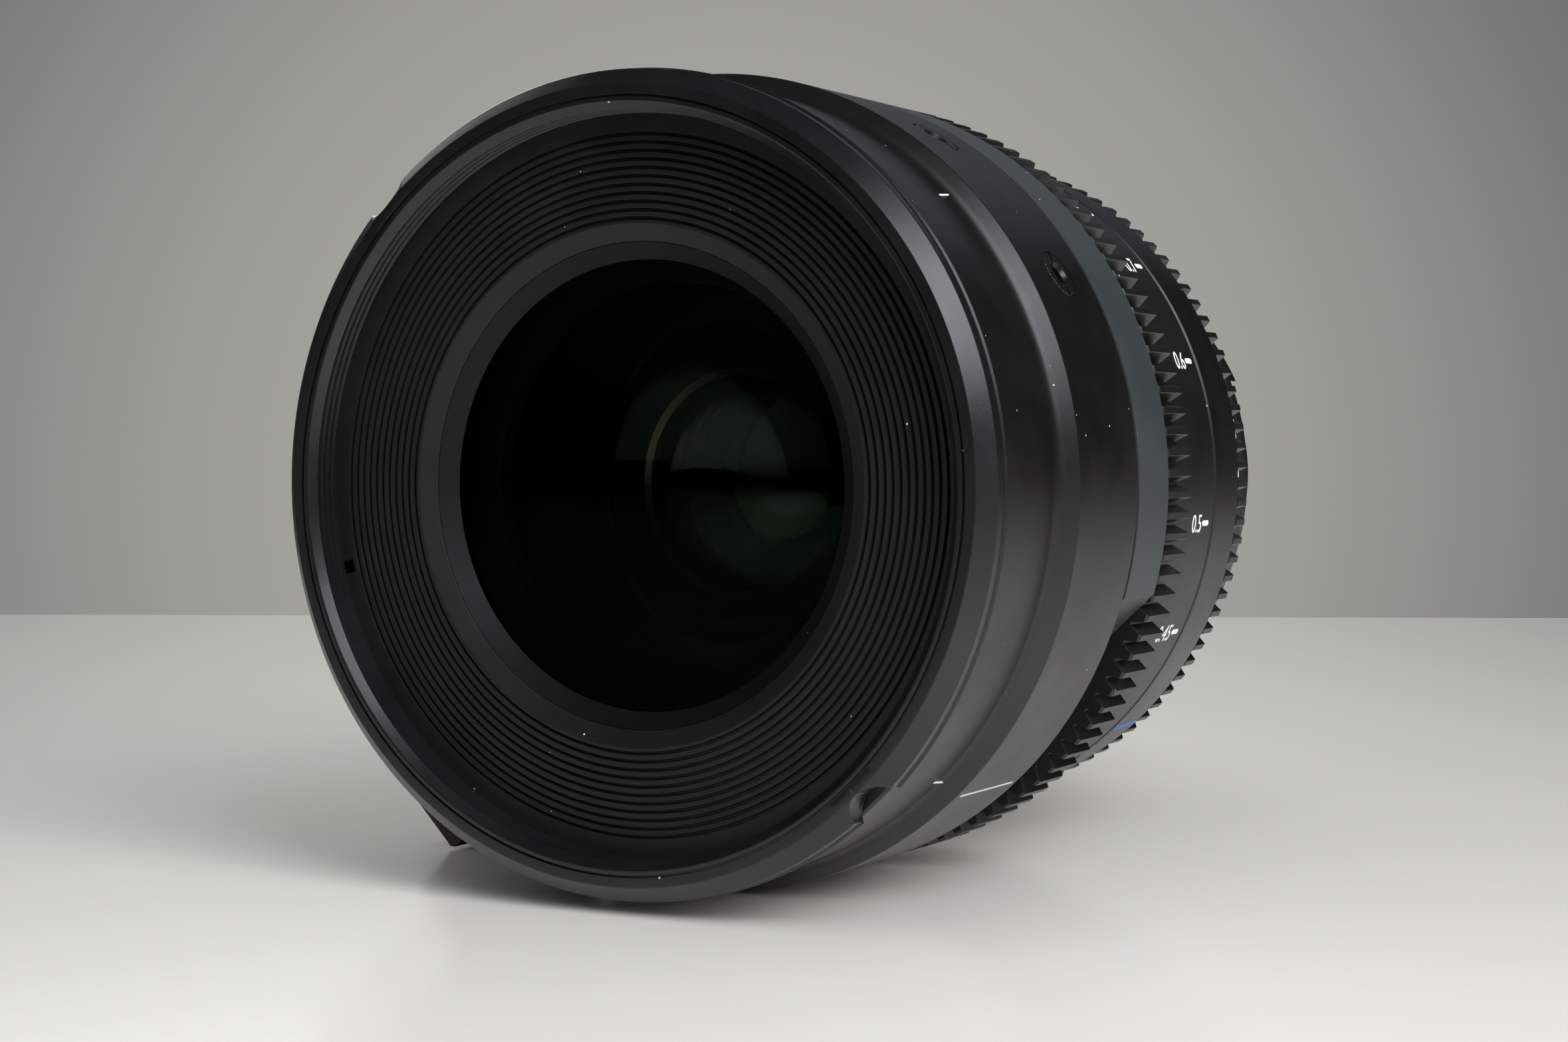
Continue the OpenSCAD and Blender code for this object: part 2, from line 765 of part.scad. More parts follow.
// Iris: cover, actuator with one slot a blade, blades on levels of their own, and base
module iris_cover() {
  color("#26282a")
    lens_axis()
      turned(open_r + 1, tube_ir - seat_fit, actuator_s - end_gap - cover_t, actuator_s - end_gap);
}

lever_slot = lever_pin_r + slot_fit;
slot_steps = 15;
module lever_slot_outline() {
  turns = [for (i = [0:slot_steps]) iris_turn * i / slot_steps];
  ways = [for (a = turns) lever_at(a + 0.1) - lever_at(a - 0.1)];
  left = [for (i = [0:slot_steps]) lever_at(turns[i]) + lever_slot * spin(ways[i], 90) / norm(ways[i])];
  right = [for (i = [slot_steps:-1:0]) lever_at(turns[i]) - lever_slot * spin(ways[i], 90) / norm(ways[i])];
  polygon(concat(left, right));
}

module iris_actuator() {
  inner = norm(lever_at(0)) - lever_slot - 1;
  color("#3b3d40")
    lens_axis()
      difference() {
        turned(inner, tube_ir - run_fit, actuator_s, actuator_s + actuator_t);
        for (i = [0:blade_n - 1])
          rotate([0, 0, i * 360 / blade_n])
            translate([0, 0, actuator_s - over]) {
              linear_extrude(actuator_t + 2 * over) lever_slot_outline();
              for (a = [0, iris_turn])
                translate(lever_at(a)) cylinder(r = lever_slot, h = actuator_t + 2 * over);
            }
        clock(0) radial_pin(pin_r + seat_fit, tube_ir - 1.4, tube_ir + over, iris_pin_s);
      }
}

module iris_drive_pin() {
  color("#b4b7ba")
    lens_axis()
      clock(0) radial_pin(pin_r, tube_ir - 1.3, tube_or + 3.4, iris_pin_s);
}

blade_start = -6;
blade_span = 112;
tab_w = 3.6;
lever_w = 1.8;
pin_short = 0.2;
module blade_outline() {
  lever_pin = [pivot_r, 0] + polar(lever_len, lever_start);
  rotate([0, 0, blade_start])
    difference() {
      circle(r = open_r + blade_w);
      circle(r = open_r);
      rotate([0, 0, blade_span]) translate([-3 * pivot_r, 0]) square([6 * pivot_r, 3 * pivot_r]);
      rotate([0, 0, 180]) translate([-3 * pivot_r, 0]) square([6 * pivot_r, 3 * pivot_r]);
    }
  translate([open_r + blade_w / 2, -tab_w / 2]) square([pivot_r - open_r - blade_w / 2, tab_w]);
  translate([pivot_r, 0]) circle(r = tab_w / 2);
  translate([pivot_r, 0])
    rotate([0, 0, lever_start]) translate([0, -lever_w / 2]) square([lever_len, lever_w]);
  translate(lever_pin) circle(r = lever_w / 2);
}

module iris_blade(index) {
  level = blade_s + (index - 1) * blade_step;
  lever_pin = [pivot_r, 0] + polar(lever_len, lever_start);
  color("#1a1b1c")
    lens_axis()
      rotate([0, 0, (index - 1) * 360 / blade_n]) {
        translate([0, 0, level]) linear_extrude(blade_t) blade_outline();
        translate([pivot_r, 0, level]) cylinder(r = pivot_pin_r, h = base_s + base_t - pin_short - level);
        translate([lever_pin[0], lever_pin[1], actuator_s + pin_short])
          cylinder(r = lever_pin_r, h = level + blade_t - actuator_s - pin_short);
      }
}

module iris_base() {
  color("#26282a")
    lens_axis()
      difference() {
        turned(open_r + 0.5, tube_ir - seat_fit, base_s, base_s + base_t);
        for (i = [0:blade_n - 1])
          rotate([0, 0, i * 360 / blade_n])
            translate([pivot_r, 0, base_s - over])
              cylinder(r = pivot_pin_r + seat_fit, h = base_t + 2 * over);
      }
}

// Cell of the rear group, from the iris base into the mount's register
rear_cell_end = lens_len + throat_len - 1;
rear_retainer_t = 1.8;
module rear_cell() {
  color("#1c1d1f")
    lens_axis()
      difference() {
        union() {
          turned(e10_r - 3, rear_cell_r, rear_cell_s, rear_cell_end);
          turned(e10_r, tube_ir - seat_fit, rear_cell_s, rear_cell_s + 3);
        }
        turned(0, e8_r + glass_fit, rear_cell_s - over, e10_edge - 2.6);
        turned(0, e10_r + glass_fit, e10_edge - 2.8, e11_edge + rear_retainer_t + 1);
        rotate_extrude()
          polygon([[0, e11_edge], [e10_r - 1.6, e11_edge], [e10_r + 1.2, rear_cell_end + over],
            [0, rear_cell_end + over]]);
      }
}
module element_08() {
  color("#2a3b40", 0.5) lens_axis() glass(e8_r, e8_s, e8_t, -e8_front_curve, e8_rear_curve);
}
module element_09() {
  color("#2a3b40", 0.5) lens_axis() glass(e8_r, e9_s, e9_t, e9_curve, e9_curve);
}
module element_10() {
  color("#2a3b40", 0.5) lens_axis() glass(e10_r, e10_s, e10_t, -e10_curve, -e10_curve);
}
module element_11() {
  color("#2a3b40", 0.5) lens_axis() glass(e10_r, e11_s, e11_t, e11_front_curve, e11_rear_curve);
}
module rear_retainer() {
  color("#1c1d1f")
    lens_axis()
      turned(e10_r - 1.5, e10_r + seat_fit, e11_edge + 0.3, e11_edge + rear_retainer_t - 0.3);
}

// Focus ring: nose under the shrouds, gear cut through from end to end, and the distance scale
gear_chamfer = 0.3;
module focus_ring() {
  nose_s = shroud_s + end_gap + 0.1;
  bore = cam_or + seat_fit;
  relief = bore + 3;
  color("#1b1c1d")
    lens_axis()
      difference() {
        rotate_extrude()
          polygon([[relief - 1.4, nose_s], [nose_r, nose_s], [nose_r, gear_s],
            [body_r - gear_chamfer, gear_s], [body_r, gear_s + gear_chamfer], [body_r, scale_s],
            [scale_r, scale_s], [scale_r, mid_s - 0.3], [scale_r - 0.3, mid_s], [bore, mid_s],
            [bore, key_s - 4], [relief, key_s - 4],
            [relief, cam_s + cam_lands], [bore, cam_s + cam_lands], [bore, cam_s], [relief - 1.4, cam_s]]);
        gear_spaces(focus_teeth, body_r, gear_s - over, scale_s + over);
        for (i = [0:2])
          clock(120 * i + 60) radial_pin(key_r + seat_fit, bore - over, bore + 3.1, key_s);
      }
}

// Cam ring: three helical slots, each cut as short straight lengths along its helix
cam_parts = 9;
module cam_ring() {
  mid_r = (cam_ir + cam_or) / 2;
  part_turn = focus_turn / cam_parts;
  lead_tilt = atan(focus_travel / (focus_turn * PI / 180 * mid_r));
  part_len = 2 * (cam_or + over) * tan(part_turn / 2) + 0.1;
  color("#a48a52")
    lens_axis()
      difference() {
        turned(cam_ir, cam_or, cam_s, cam_end);
        for (i = [0:2])
          clock(120 * i) {
            for (j = [0:cam_parts - 1])
              rotate([0, 0, -part_turn * (j + 0.5)])
                translate([mid_r, 0, roller_s + focus_travel * (j + 0.5) / cam_parts])
                  rotate([-lead_tilt, 0, 0])
                    cube([cam_wall + 2 * over, part_len, 2 * slot_half], center = true);
            for (end = [0, 1])
              rotate([0, 0, -focus_turn * end])
                radial_pin(slot_half, cam_ir - over, cam_or + over, roller_s + focus_travel * end);
          }
        for (i = [0:2])
          clock(120 * i + 60) radial_pin(key_r + seat_fit, cam_ir - over, cam_or + over, key_s);
      }
}

module focus_keys() {
  color("#b4b7ba")
    lens_axis()
      for (i = [0:2])
        clock(120 * i + 60) radial_pin(key_r, cam_ir + 0.4, cam_or + 3, key_s);
}

// Focus cell: slides in the guide tube on its two lands, driven by three rollers
module focus_cell() {
  end = focus_s + focus_cell_len;
  color("#26282a")
    lens_axis()
      difference() {
        rotate_extrude()
          polygon([[e7_r - focus_seat_w, focus_s], [cell_or, focus_s], [cell_or, focus_s + 11],
            [cell_or - 1.2, focus_s + 12.2],
            [cell_or - 1.2, end - 5.2], [cell_or, end - 4], [cell_or, end], [e7_r - focus_seat_w, end]]);
        turned(0, e5_r + glass_fit, focus_s - over, e6_edge + 0.05);
        turned(0, e7_r + glass_fit, e6_edge, e7_seat + seat_fit);
        for (i = [0:2])
          clock(120 * i)
            radial_pin(roller_r + seat_fit, cell_or - roller_in - seat_fit, cell_or + over, roller_s);
      }
}

module cam_rollers() {
  color("#c3a24e")
    lens_axis()
      for (i = [0:2])
        clock(120 * i) radial_pin(roller_r, cell_or - roller_in, cam_or - 0.2, roller_s);
}

module element_05() {
  color("#2a3b40", 0.5) lens_axis() glass(e5_r, e5_s, e5_t, e5_curve, e5_curve);
}
module element_06() {
  color("#2a3b40", 0.5) lens_axis() glass(e5_r, e6_s, e6_t, -e6_front_curve, -e6_rear_curve);
}
module element_07() {
  color("#2a3b40", 0.5) lens_axis() glass(e7_r, e7_s, e7_t, e7_front_curve, e7_rear_curve);
}
focus_retainer_t = 2;
focus_lip = 1.7;
module focus_retainer() {
  inner = e5_r - focus_lip;
  rear = e5_s + sag(e5_curve, inner) - seat_fit;
  color("#1c1d1f") lens_axis() turned(inner, e5_r + seat_fit, rear - focus_retainer_t, rear);
}

// Iris ring: gear at its front edge, and the aperture scale that tapers to the rear
module iris_ring() {
  end = iris_scale_s + iris_scale_len;
  hub = tube_or + run_fit;
  color("#1b1c1d")
    lens_axis()
      difference() {
        rotate_extrude()
          polygon([[hub, iris_s], [iris_r, iris_s], [iris_r, iris_scale_s], [iris_step_r, iris_scale_s],
            [iris_scale_r, end - 0.3], [iris_scale_r - 0.3, end], [hub, end]]);
        gear_spaces(iris_teeth, iris_r, iris_s - over, iris_scale_s + over);
        clock(0) radial_pin(pin_r + seat_fit, hub - over, tube_or + 3.5, iris_pin_s);
      }
}

front_ring();
front_baffle();
front_retainer();
element_01();
front_barrel();
accessory_bushes();
top_shroud();
bottom_shroud();
lens_foot();
foot_screws();
front_cell();
cell_screws();
element_02();
element_03();
element_04();
front_group_retainer();
guide_tube();
tube_screws();
mid_ring();
rear_barrel();
mount_flange();
mount_screws();
iris_cover();
iris_base();
rear_cell();
element_08();
element_09();
element_10();
element_11();
rear_retainer();
focus_ring();
cam_ring();
focus_keys();
focus_cell();
cam_rollers();
element_05();
element_06();
element_07();
focus_retainer();
iris_ring();
iris_actuator();
iris_drive_pin();
iris_blade(1);  // iris_blade_01
iris_blade(2);  // iris_blade_02
iris_blade(3);  // iris_blade_03
iris_blade(4);  // iris_blade_04
iris_blade(5);  // iris_blade_05
iris_blade(6);  // iris_blade_06
iris_blade(7);  // iris_blade_07
iris_blade(8);  // iris_blade_08
iris_blade(9);  // iris_blade_09
iris_blade(10);  // iris_blade_10
iris_blade(11);  // iris_blade_11
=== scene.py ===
"""Looks of a geared cinema prime lens that lies on a pale table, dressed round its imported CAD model."""

import math

import bmesh
import bpy
from mathutils import Matrix, Vector


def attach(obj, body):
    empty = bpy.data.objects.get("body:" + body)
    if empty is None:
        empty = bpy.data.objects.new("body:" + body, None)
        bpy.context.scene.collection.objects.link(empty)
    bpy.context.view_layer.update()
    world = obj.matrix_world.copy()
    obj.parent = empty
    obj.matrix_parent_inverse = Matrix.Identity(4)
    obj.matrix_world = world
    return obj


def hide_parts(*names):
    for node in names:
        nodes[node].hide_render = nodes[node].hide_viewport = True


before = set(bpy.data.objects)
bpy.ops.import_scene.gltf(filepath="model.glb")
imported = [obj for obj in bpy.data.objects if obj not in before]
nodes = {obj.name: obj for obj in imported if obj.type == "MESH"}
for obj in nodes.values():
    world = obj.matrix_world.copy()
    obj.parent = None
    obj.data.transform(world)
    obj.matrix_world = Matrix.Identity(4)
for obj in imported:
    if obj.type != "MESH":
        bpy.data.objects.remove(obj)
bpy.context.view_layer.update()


# Front ring: the 95 mm clamp face, turned from aluminium bar, anodised black and screwed to the barrel.
# The filter thread is cut in its bore, a fine groove runs in its face, a small lip stops the clamp
# at the land's rear edge, and two round notches are milled through the rim.
MM = 0.001
FLANGE_S = 125.0  # from the front face back to the mount's flange
ROLL = 46.5  # how far the lens is rolled as it lies, in degrees
FRONT_R = 47.5
FACE_R = 45.4
LAND_END = 3.9
SLEEVE_R = 45.05  # the sleeve that fits in the barrel
SLEEVE_END = 6.9
THREAD_R = 42.46
THREAD_ROOT = 43.0
THREAD_START = 0.9
THREAD_PITCH = 1.0
BAFFLE_S = 4.5  # where the thread ends and the baffle seats
NOTCH_R = 3.3


def at(s, r, clock):
    """The point s mm behind the front face, r mm off the axis and clock degrees from the top."""
    a = math.radians(clock)
    return Vector((r * math.sin(a), s - FLANGE_S, r * math.cos(a))) * MM


def eased(outline, soft=0.12):
    """An outline of (r, s) corners with each edge broken, as a deburring pass leaves it.
    A corner (r, s, reach) has a break of its own, and one with reach 0 stays sharp."""
    points = []
    for i, corner in enumerate(outline):
        here = Vector(corner[:2])
        reach = corner[2] if len(corner) > 2 else soft
        if reach == 0:
            points.append(here)
            continue
        before = Vector(outline[i - 1][:2]) - here
        after = Vector(outline[(i + 1) % len(outline)][:2]) - here
        reach = min(reach, 0.4 * before.length, 0.4 * after.length)
        start = here + before.normalized() * reach
        end = here + after.normalized() * reach
        points += [start, (start + 2 * here + end) / 4, end]
    return points


def sweep(name, columns, ends=False):
    """A solid through columns of points, each column one closed outline; with ends it isn't a full ring."""
    shell = bmesh.new()
    rows = [[shell.verts.new(p) for p in column] for column in columns]
    for i in range(len(rows) - 1 if ends else len(rows)):
        left, right = rows[i], rows[(i + 1) % len(rows)]
        for j in range(len(left)):
            k = (j + 1) % len(left)
            shell.faces.new((left[j], left[k], right[k], right[j]))
    if ends:
        shell.faces.new(rows[0])
        shell.faces.new(rows[-1])
    bmesh.ops.remove_doubles(shell, verts=shell.verts, dist=1e-7)
    bmesh.ops.delete(shell, geom=[e for e in shell.edges if not e.link_faces], context="EDGES")
    bmesh.ops.recalc_face_normals(shell, faces=shell.faces)
    return as_piece(name, shell)


def as_piece(name, shell):
    """The finished bmesh as an object in the scene."""
    mesh = bpy.data.meshes.new(name)
    shell.to_mesh(mesh)
    shell.free()
    thing = bpy.data.objects.new(name, mesh)
    bpy.context.scene.collection.objects.link(thing)
    return thing


def fit(thing, finish, stands_for=(), body="lens_body", crease=40):
    """Shades a piece, gives it its finish and sets it on its body in place of its CAD nodes."""
    mesh = thing.data
    mesh.polygons.foreach_set("use_smooth", [True] * len(mesh.polygons))
    mesh.set_sharp_from_angle(angle=math.radians(crease))
    thing.modifiers.new("flat_faces_first", "WEIGHTED_NORMAL").keep_sharp = True
    mesh.materials.append(finish)
    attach(thing, body)
    if stands_for:
        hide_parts(*stands_for)
    return thing


def srgb(code):
    """A hex colour as linear RGBA."""
    parts = [int(code[i:i + 2], 16) / 255 for i in (1, 3, 5)]
    return tuple(c / 12.92 if c <= 0.04045 else ((c + 0.055) / 1.055) ** 2.4 for c in parts) + (1.0,)


def put(tree, kind, inputs, **settings):
    """Adds a node with its settings, its values and the sockets that feed it.
    A colour Mix takes its two colours at sockets 6 and 7 and gives them at output 2."""
    node = tree.nodes.new(kind)
    for name, value in settings.items():
        setattr(node, name, value)
    for key, value in inputs.items():
        if isinstance(value, bpy.types.NodeSocket):
            tree.links.new(value, node.inputs[key])
        else:
            node.inputs[key].default_value = value
    return node


def anodised(name, colour, worn, rough, grain_mm=0.16, dust=0.9, ior=1.5):
    """Dyed anodised aluminium, or thin black paint on metal: a hard clear film over a blasted skin.
    It is dark face on, mirrors its surroundings at a glancing angle and sparkles finely where a lamp
    catches it; hands leave it worn in patches, and a little dust lies on it."""
    finish = bpy.data.materials.new(name)
    finish.use_nodes = True
    tree = finish.node_tree
    skin = tree.nodes["Principled BSDF"]
    place = put(tree, "ShaderNodeTexCoord", {}).outputs["Object"]
    # The blasted grain is nearer 0.05 mm; it is drawn this coarse so that it shows.
    grain = put(tree, "ShaderNodeTexNoise", {
        "Vector": place, "Scale": 1 / (grain_mm * MM), "Detail": 2.0})
    handling = put(tree, "ShaderNodeTexNoise", {
        "Vector": place, "Scale": 1 / (14 * MM), "Detail": 5.0, "Roughness": 0.65})
    patch = put(tree, "ShaderNodeMapRange", {
        "Value": handling.outputs["Fac"], "From Min": 0.35, "From Max": 0.75})
    tone = put(tree, "ShaderNodeMix", {
        0: patch.outputs[0], 6: srgb(colour), 7: srgb(worn)}, data_type="RGBA")
    # Dust: one speck in some of the 2.2 mm cells, each up to 0.26 mm across.
    cells = put(tree, "ShaderNodeTexVoronoi", {"Vector": place, "Scale": 1 / (2.2 * MM)})
    pick = put(tree, "ShaderNodeSeparateColor", {"Color": cells.outputs["Color"]})
    size = put(tree, "ShaderNodeMapRange", {
        "Value": pick.outputs[0], "From Min": 1 - dust * 0.5, "From Max": 1.0,
        "To Min": 0.0, "To Max": 0.06})
    speck = put(tree, "ShaderNodeMath", {
        0: cells.outputs["Distance"], 1: size.outputs[0]}, operation="LESS_THAN")
    dusted = put(tree, "ShaderNodeMix", {
        0: speck.outputs[0], 6: tone.outputs[2], 7: srgb("#b9bab8")}, data_type="RGBA")
    sheen = put(tree, "ShaderNodeMapRange", {
        "Value": handling.outputs["Fac"], "From Min": 0.3, "From Max": 0.7,
        "To Min": rough - 0.05, "To Max": rough + 0.06})
    bumps = put(tree, "ShaderNodeBump", {
        "Height": grain.outputs["Fac"], "Strength": 1.0, "Distance": 0.006 * MM})
    tree.links.new(dusted.outputs[2], skin.inputs["Base Color"])
    tree.links.new(sheen.outputs[0], skin.inputs["Roughness"])
    tree.links.new(bumps.outputs[0], skin.inputs["Normal"])
    skin.inputs["IOR"].default_value = ior
    return finish


def front_outline(limit):
    """The front ring's section where nothing stands further out than limit."""
    rim = min(FRONT_R, limit)
    bore = [(THREAD_ROOT + 0.36, 0.0)]
    s = THREAD_START
    while s + THREAD_PITCH < BAFFLE_S:
        bore += [(THREAD_R, s, 0), (THREAD_R, s + 0.2, 0), (THREAD_ROOT, s + 0.5, 0),
                 (THREAD_ROOT, s + 0.7, 0)]
        s += THREAD_PITCH
    bore += [(THREAD_R, s, 0), (THREAD_R, BAFFLE_S, 0)]
    seat = THREAD_ROOT + 0.05
    back = [(seat, BAFFLE_S, 0), (seat, SLEEVE_END, 0), (SLEEVE_R, SLEEVE_END, 0), (SLEEVE_R, LAND_END, 0)]
    # The land lies a little below the lip, by less where a notch cuts into both.
    step = 0.12 * (rim - FACE_R)
    lip = [(rim - 0.3, LAND_END), (rim, LAND_END - 0.2, 0.05), (rim, LAND_END - 0.3, 0.03),
           (rim - step, LAND_END - 0.3 - step, 0.03)]
    rim_edge = lip + [(rim - step, rim - step - FACE_R), (FACE_R, 0.0)]
    groove = [(44.2, 0.0, 0.05), (44.2, 0.4, 0), (43.9, 0.4, 0), (43.9, 0.0, 0.05)]
    return eased(bore + back + rim_edge + groove)


notch_span = math.degrees(math.asin(NOTCH_R / (FACE_R + NOTCH_R)))
# One section every 1.5 degrees, and closer ones that follow the round of each notch.
columns = [(ROLL + 1.5 * i, FRONT_R) for i in range(240)]
for side in (ROLL + 90, ROLL + 270):
    columns = [c for c in columns if abs(c[0] - side) > notch_span + 0.3]
    for i in range(-20, 21):
        turn = notch_span * math.sin(math.radians(4.5 * i))
        middle = (FACE_R + NOTCH_R) * math.cos(math.radians(turn))
        reach = (FACE_R + NOTCH_R) * math.sin(math.radians(turn))
        columns.append((side + turn, middle - math.sqrt(max(NOTCH_R ** 2 - reach ** 2, 0))))
columns.sort()
front_ring = sweep("front_ring_turned", [[at(s, r, clock) for r, s in front_outline(limit)]
                                         for clock, limit in columns])
satin_black = anodised("black_anodised_aluminium_satin", "#0e0f10", "#141516", 0.29)
fit(front_ring, satin_black, ["front_ring"])


# Baffle: a grooved disc of blackened aluminium that screws in behind the filter thread.
# Its rings trap stray light, and a two-pin spanner turns it by the two slots at its rim.
GROOVES = 11
FIRST_GROOVE = 30.6
GROOVE_PITCH = 0.962
SLOT_HALF = 1.05  # half the width of a spanner slot, in degrees
SLOT_DEEP = 1.8


def baffle_outline(rim_s):
    """The baffle's section, with the rim's face at rim_s in a spanner slot."""
    face = [(30.0, BAFFLE_S)]
    for i in range(GROOVES):
        r = FIRST_GROOVE + GROOVE_PITCH * i
        floor = BAFFLE_S + 0.6
        face += [(r - 0.21, BAFFLE_S, 0.05), (r - 0.13, floor, 0), (r + 0.13, floor, 0),
                 (r + 0.21, BAFFLE_S, 0.05)]
    face += [(41.0, BAFFLE_S, 0), (41.0, rim_s, 0), (THREAD_ROOT, rim_s, 0)]
    return eased(face + [(THREAD_ROOT, 6.7, 0), (28.05, 6.7, 0), (28.05, 5.65)], 0.08)


columns = [(ROLL + 2 * i, BAFFLE_S) for i in range(180)]
for side in (ROLL + 29.5, ROLL + 209.5):
    columns = [c for c in columns if abs(c[0] - side) > SLOT_HALF + 0.05]
    columns += [(side - SLOT_HALF - 0.02, BAFFLE_S), (side - SLOT_HALF, BAFFLE_S + SLOT_DEEP),
                (side + SLOT_HALF, BAFFLE_S + SLOT_DEEP), (side + SLOT_HALF + 0.02, BAFFLE_S)]
columns.sort()
baffle = sweep("front_baffle_grooved", [[at(s, r, clock) for r, s in baffle_outline(rim)]
                                        for clock, rim in columns])
matte_black = anodised("black_anodised_aluminium_matte", "#0e0e0e", "#141413", 0.55, dust=0.35, ior=1.42)
fit(baffle, matte_black, ["front_baffle"])


# Retainer: the thin conical ring that clamps the front glass in its cell.
# Turned aluminium, blackened, with the fine tool marks of the lathe left on its cone.
def turned_ring(name, outline, soft=0.12, steps=192):
    """A solid of revolution from an outline of (r, s) corners."""
    section = eased(outline, soft)
    return sweep(name, [[at(s, r, 360 * i / steps) for r, s in section] for i in range(steps)])


retainer = turned_ring("front_retainer_cone", [(28.0, 5.7), (28.0, 6.75, 0), (28.4, 6.75, 0), (28.4, 7.89, 0),
                                               (26.05, 7.35)], 0.06)
satin_grey = anodised("black_anodised_aluminium_turned", "#0a0a0b", "#0e0e0f", 0.5, dust=0.2, ior=1.3)
fit(retainer, satin_grey, ["front_retainer"])


# Glass: eleven ground and polished elements in four groups, each face with a multi-layer coating.
# The coatings leave only faint coloured reflections, so the barrel behind looks deep and dark.
GLASS_IOR = 1.62
LEAST_SHARE = 0.7


def sag(curve, r):
    """Depth of a spherical face at height r."""
    return abs(curve) - math.sqrt(curve * curve - r * r)


def element(name, r, s, t, front, rear, coating, body="lens_body"):
    """A lens element: front and rear curves bulge where above 0 and are hollow where below."""
    rings = [r * i / 20 for i in range(21)]
    ahead = [(h, s + math.copysign(sag(front, h), front)) for h in rings]
    behind = [(h, s + t - math.copysign(sag(rear, h), rear)) for h in reversed(rings)]
    section = [Vector(p) for p in ahead + behind]
    blank = sweep(name + "_polished", [[at(p.y, p.x, 360 * i / 96) for p in section] for i in range(96)])
    fit(blank, coating, [name], body, crease=30)


def coated_glass(name, residue, strength, clear="#fefefd"):
    """Optical glass under a multi-layer coating: clear through, with a faint coloured mirror on it.
    It mirrors strength times what bare glass would, in the coating's colour, residue; clear is the
    colour of the glass itself, or a darker tint that paints shade seen through it."""
    glass = bpy.data.materials.new(name)
    glass.use_nodes = True
    tree = glass.node_tree
    tree.nodes.remove(tree.nodes["Principled BSDF"])
    place = put(tree, "ShaderNodeTexCoord", {}).outputs["Object"]
    # The coating's thickness drifts over the face, so its colour does too.
    drift = put(tree, "ShaderNodeTexNoise", {"Vector": place, "Scale": 1 / (30 * MM), "Detail": 1.0})
    # A very weak mirror is drawn as a darker one that more rays meet, which mirrors about the same light.
    share = max(strength, LEAST_SHARE)
    full = [c * strength / share for c in srgb(residue)[:3]] + [1.0]
    weak = [c * 0.6 for c in full[:3]] + [1.0]
    tint = put(tree, "ShaderNodeMix", {0: drift.outputs["Fac"], 6: full, 7: weak}, data_type="RGBA")
    bare = put(tree, "ShaderNodeFresnel", {"IOR": GLASS_IOR})
    left = put(tree, "ShaderNodeMath", {0: bare.outputs[0], 1: share}, operation="MULTIPLY")
    through = put(tree, "ShaderNodeBsdfRefraction", {
        "Color": srgb(clear), "Roughness": 0.0, "IOR": GLASS_IOR})
    mirror = put(tree, "ShaderNodeBsdfAnisotropic", {"Color": tint.outputs[2], "Roughness": 0.0})
    both = put(tree, "ShaderNodeMixShader", {
        0: left.outputs[0], 1: through.outputs[0], 2: mirror.outputs[0]})
    tree.links.new(both.outputs[0], tree.nodes["Material Output"].inputs["Surface"])
    return glass


# Each group has a coating of its own, so its faint reflections differ in colour.
front_coat = coated_glass("optical_glass_front_coat", "#b6d8b4", 0.04)
teal_coat = coated_glass("optical_glass_teal_coat", "#7cc4c6", 0.24)
amber_coat = coated_glass("optical_glass_amber_coat", "#c9c79a", 0.09)
green_coat = coated_glass("optical_glass_green_coat", "#a2cc8c", 0.42)
violet_coat = coated_glass("optical_glass_violet_coat", "#c3a3e6", 0.3)
element("element_01", 28.4, 4.538, 4, 120, -70, front_coat)
element("element_02", 25, 19.90, 2, -90, -60, front_coat)
element("element_03", 22, 22.964, 12, 55, 60, amber_coat)
element("element_04", 22, 34.984, 2, -60, -150, teal_coat)


# Front barrel: the black casing from the clamp waist to the wide band, turned in one piece.
# A cove and a second bevel step up to the band, and four holes in the band take threaded bushes.
WAIST_R = 46.7
COVE_S = 17.3
COVE_LEN = 1.7
COVE_TURN = math.radians(58)
BEVEL_R = 47.6
BODY_R = 48.8
BAND_S = 20.3
BAND_END = 37.5
BUSH_S = 29.5
BUSH_CLOCKS = [ROLL + side + turn for side in (0, 180) for turn in (-13.5, 13.5)]


def take_out(thing, tool):
    """Cuts the tool's volume out of a piece and removes the tool."""
    step = thing.modifiers.new("cut", "BOOLEAN")
    step.operation = "DIFFERENCE"
    step.solver = "EXACT"
    step.object = tool
    bpy.context.view_layer.update()
    done = bpy.data.meshes.new_from_object(thing.evaluated_get(bpy.context.evaluated_depsgraph_get()))
    thing.modifiers.clear()
    thing.data = done
    bpy.data.objects.remove(tool)


def studs(name, places, section, sides=48, wave=0.0, waves=1):
    """Round studs that stand on the lens's side at places of (s, clock).
    The section holds (radius of the stud, height off the axis); wave says how deep its rim is serrated."""
    shell = bmesh.new()
    for s, clock in places:
        out = at(FLANGE_S, 1, clock) / MM
        along = Vector((0, 1, 0))
        across = out.cross(along)
        rings = []
        for r, high in section:
            ring = []
            for i in range(sides):
                a = 2 * math.pi * i / sides
                reach = r * (1 - wave * (math.cos(waves * a) > 0)) if r > 2 else r
                sideways = reach * math.cos(a)
                # The stud's face follows the round of the band.
                top = high - (BODY_R - math.sqrt(BODY_R ** 2 - sideways ** 2))
                centre = Vector((0, s - FLANGE_S, 0))
                ring.append(shell.verts.new((centre + out * top + across * sideways
                                             + along * reach * math.sin(a)) * MM))
            rings.append(ring)
        for below, above in zip(rings, rings[1:] + rings[:1]):
            for i in range(sides):
                k = (i + 1) % sides
                shell.faces.new((below[i], below[k], above[k], above[i]))
    bmesh.ops.recalc_face_normals(shell, faces=shell.faces)
    return as_piece(name, shell)


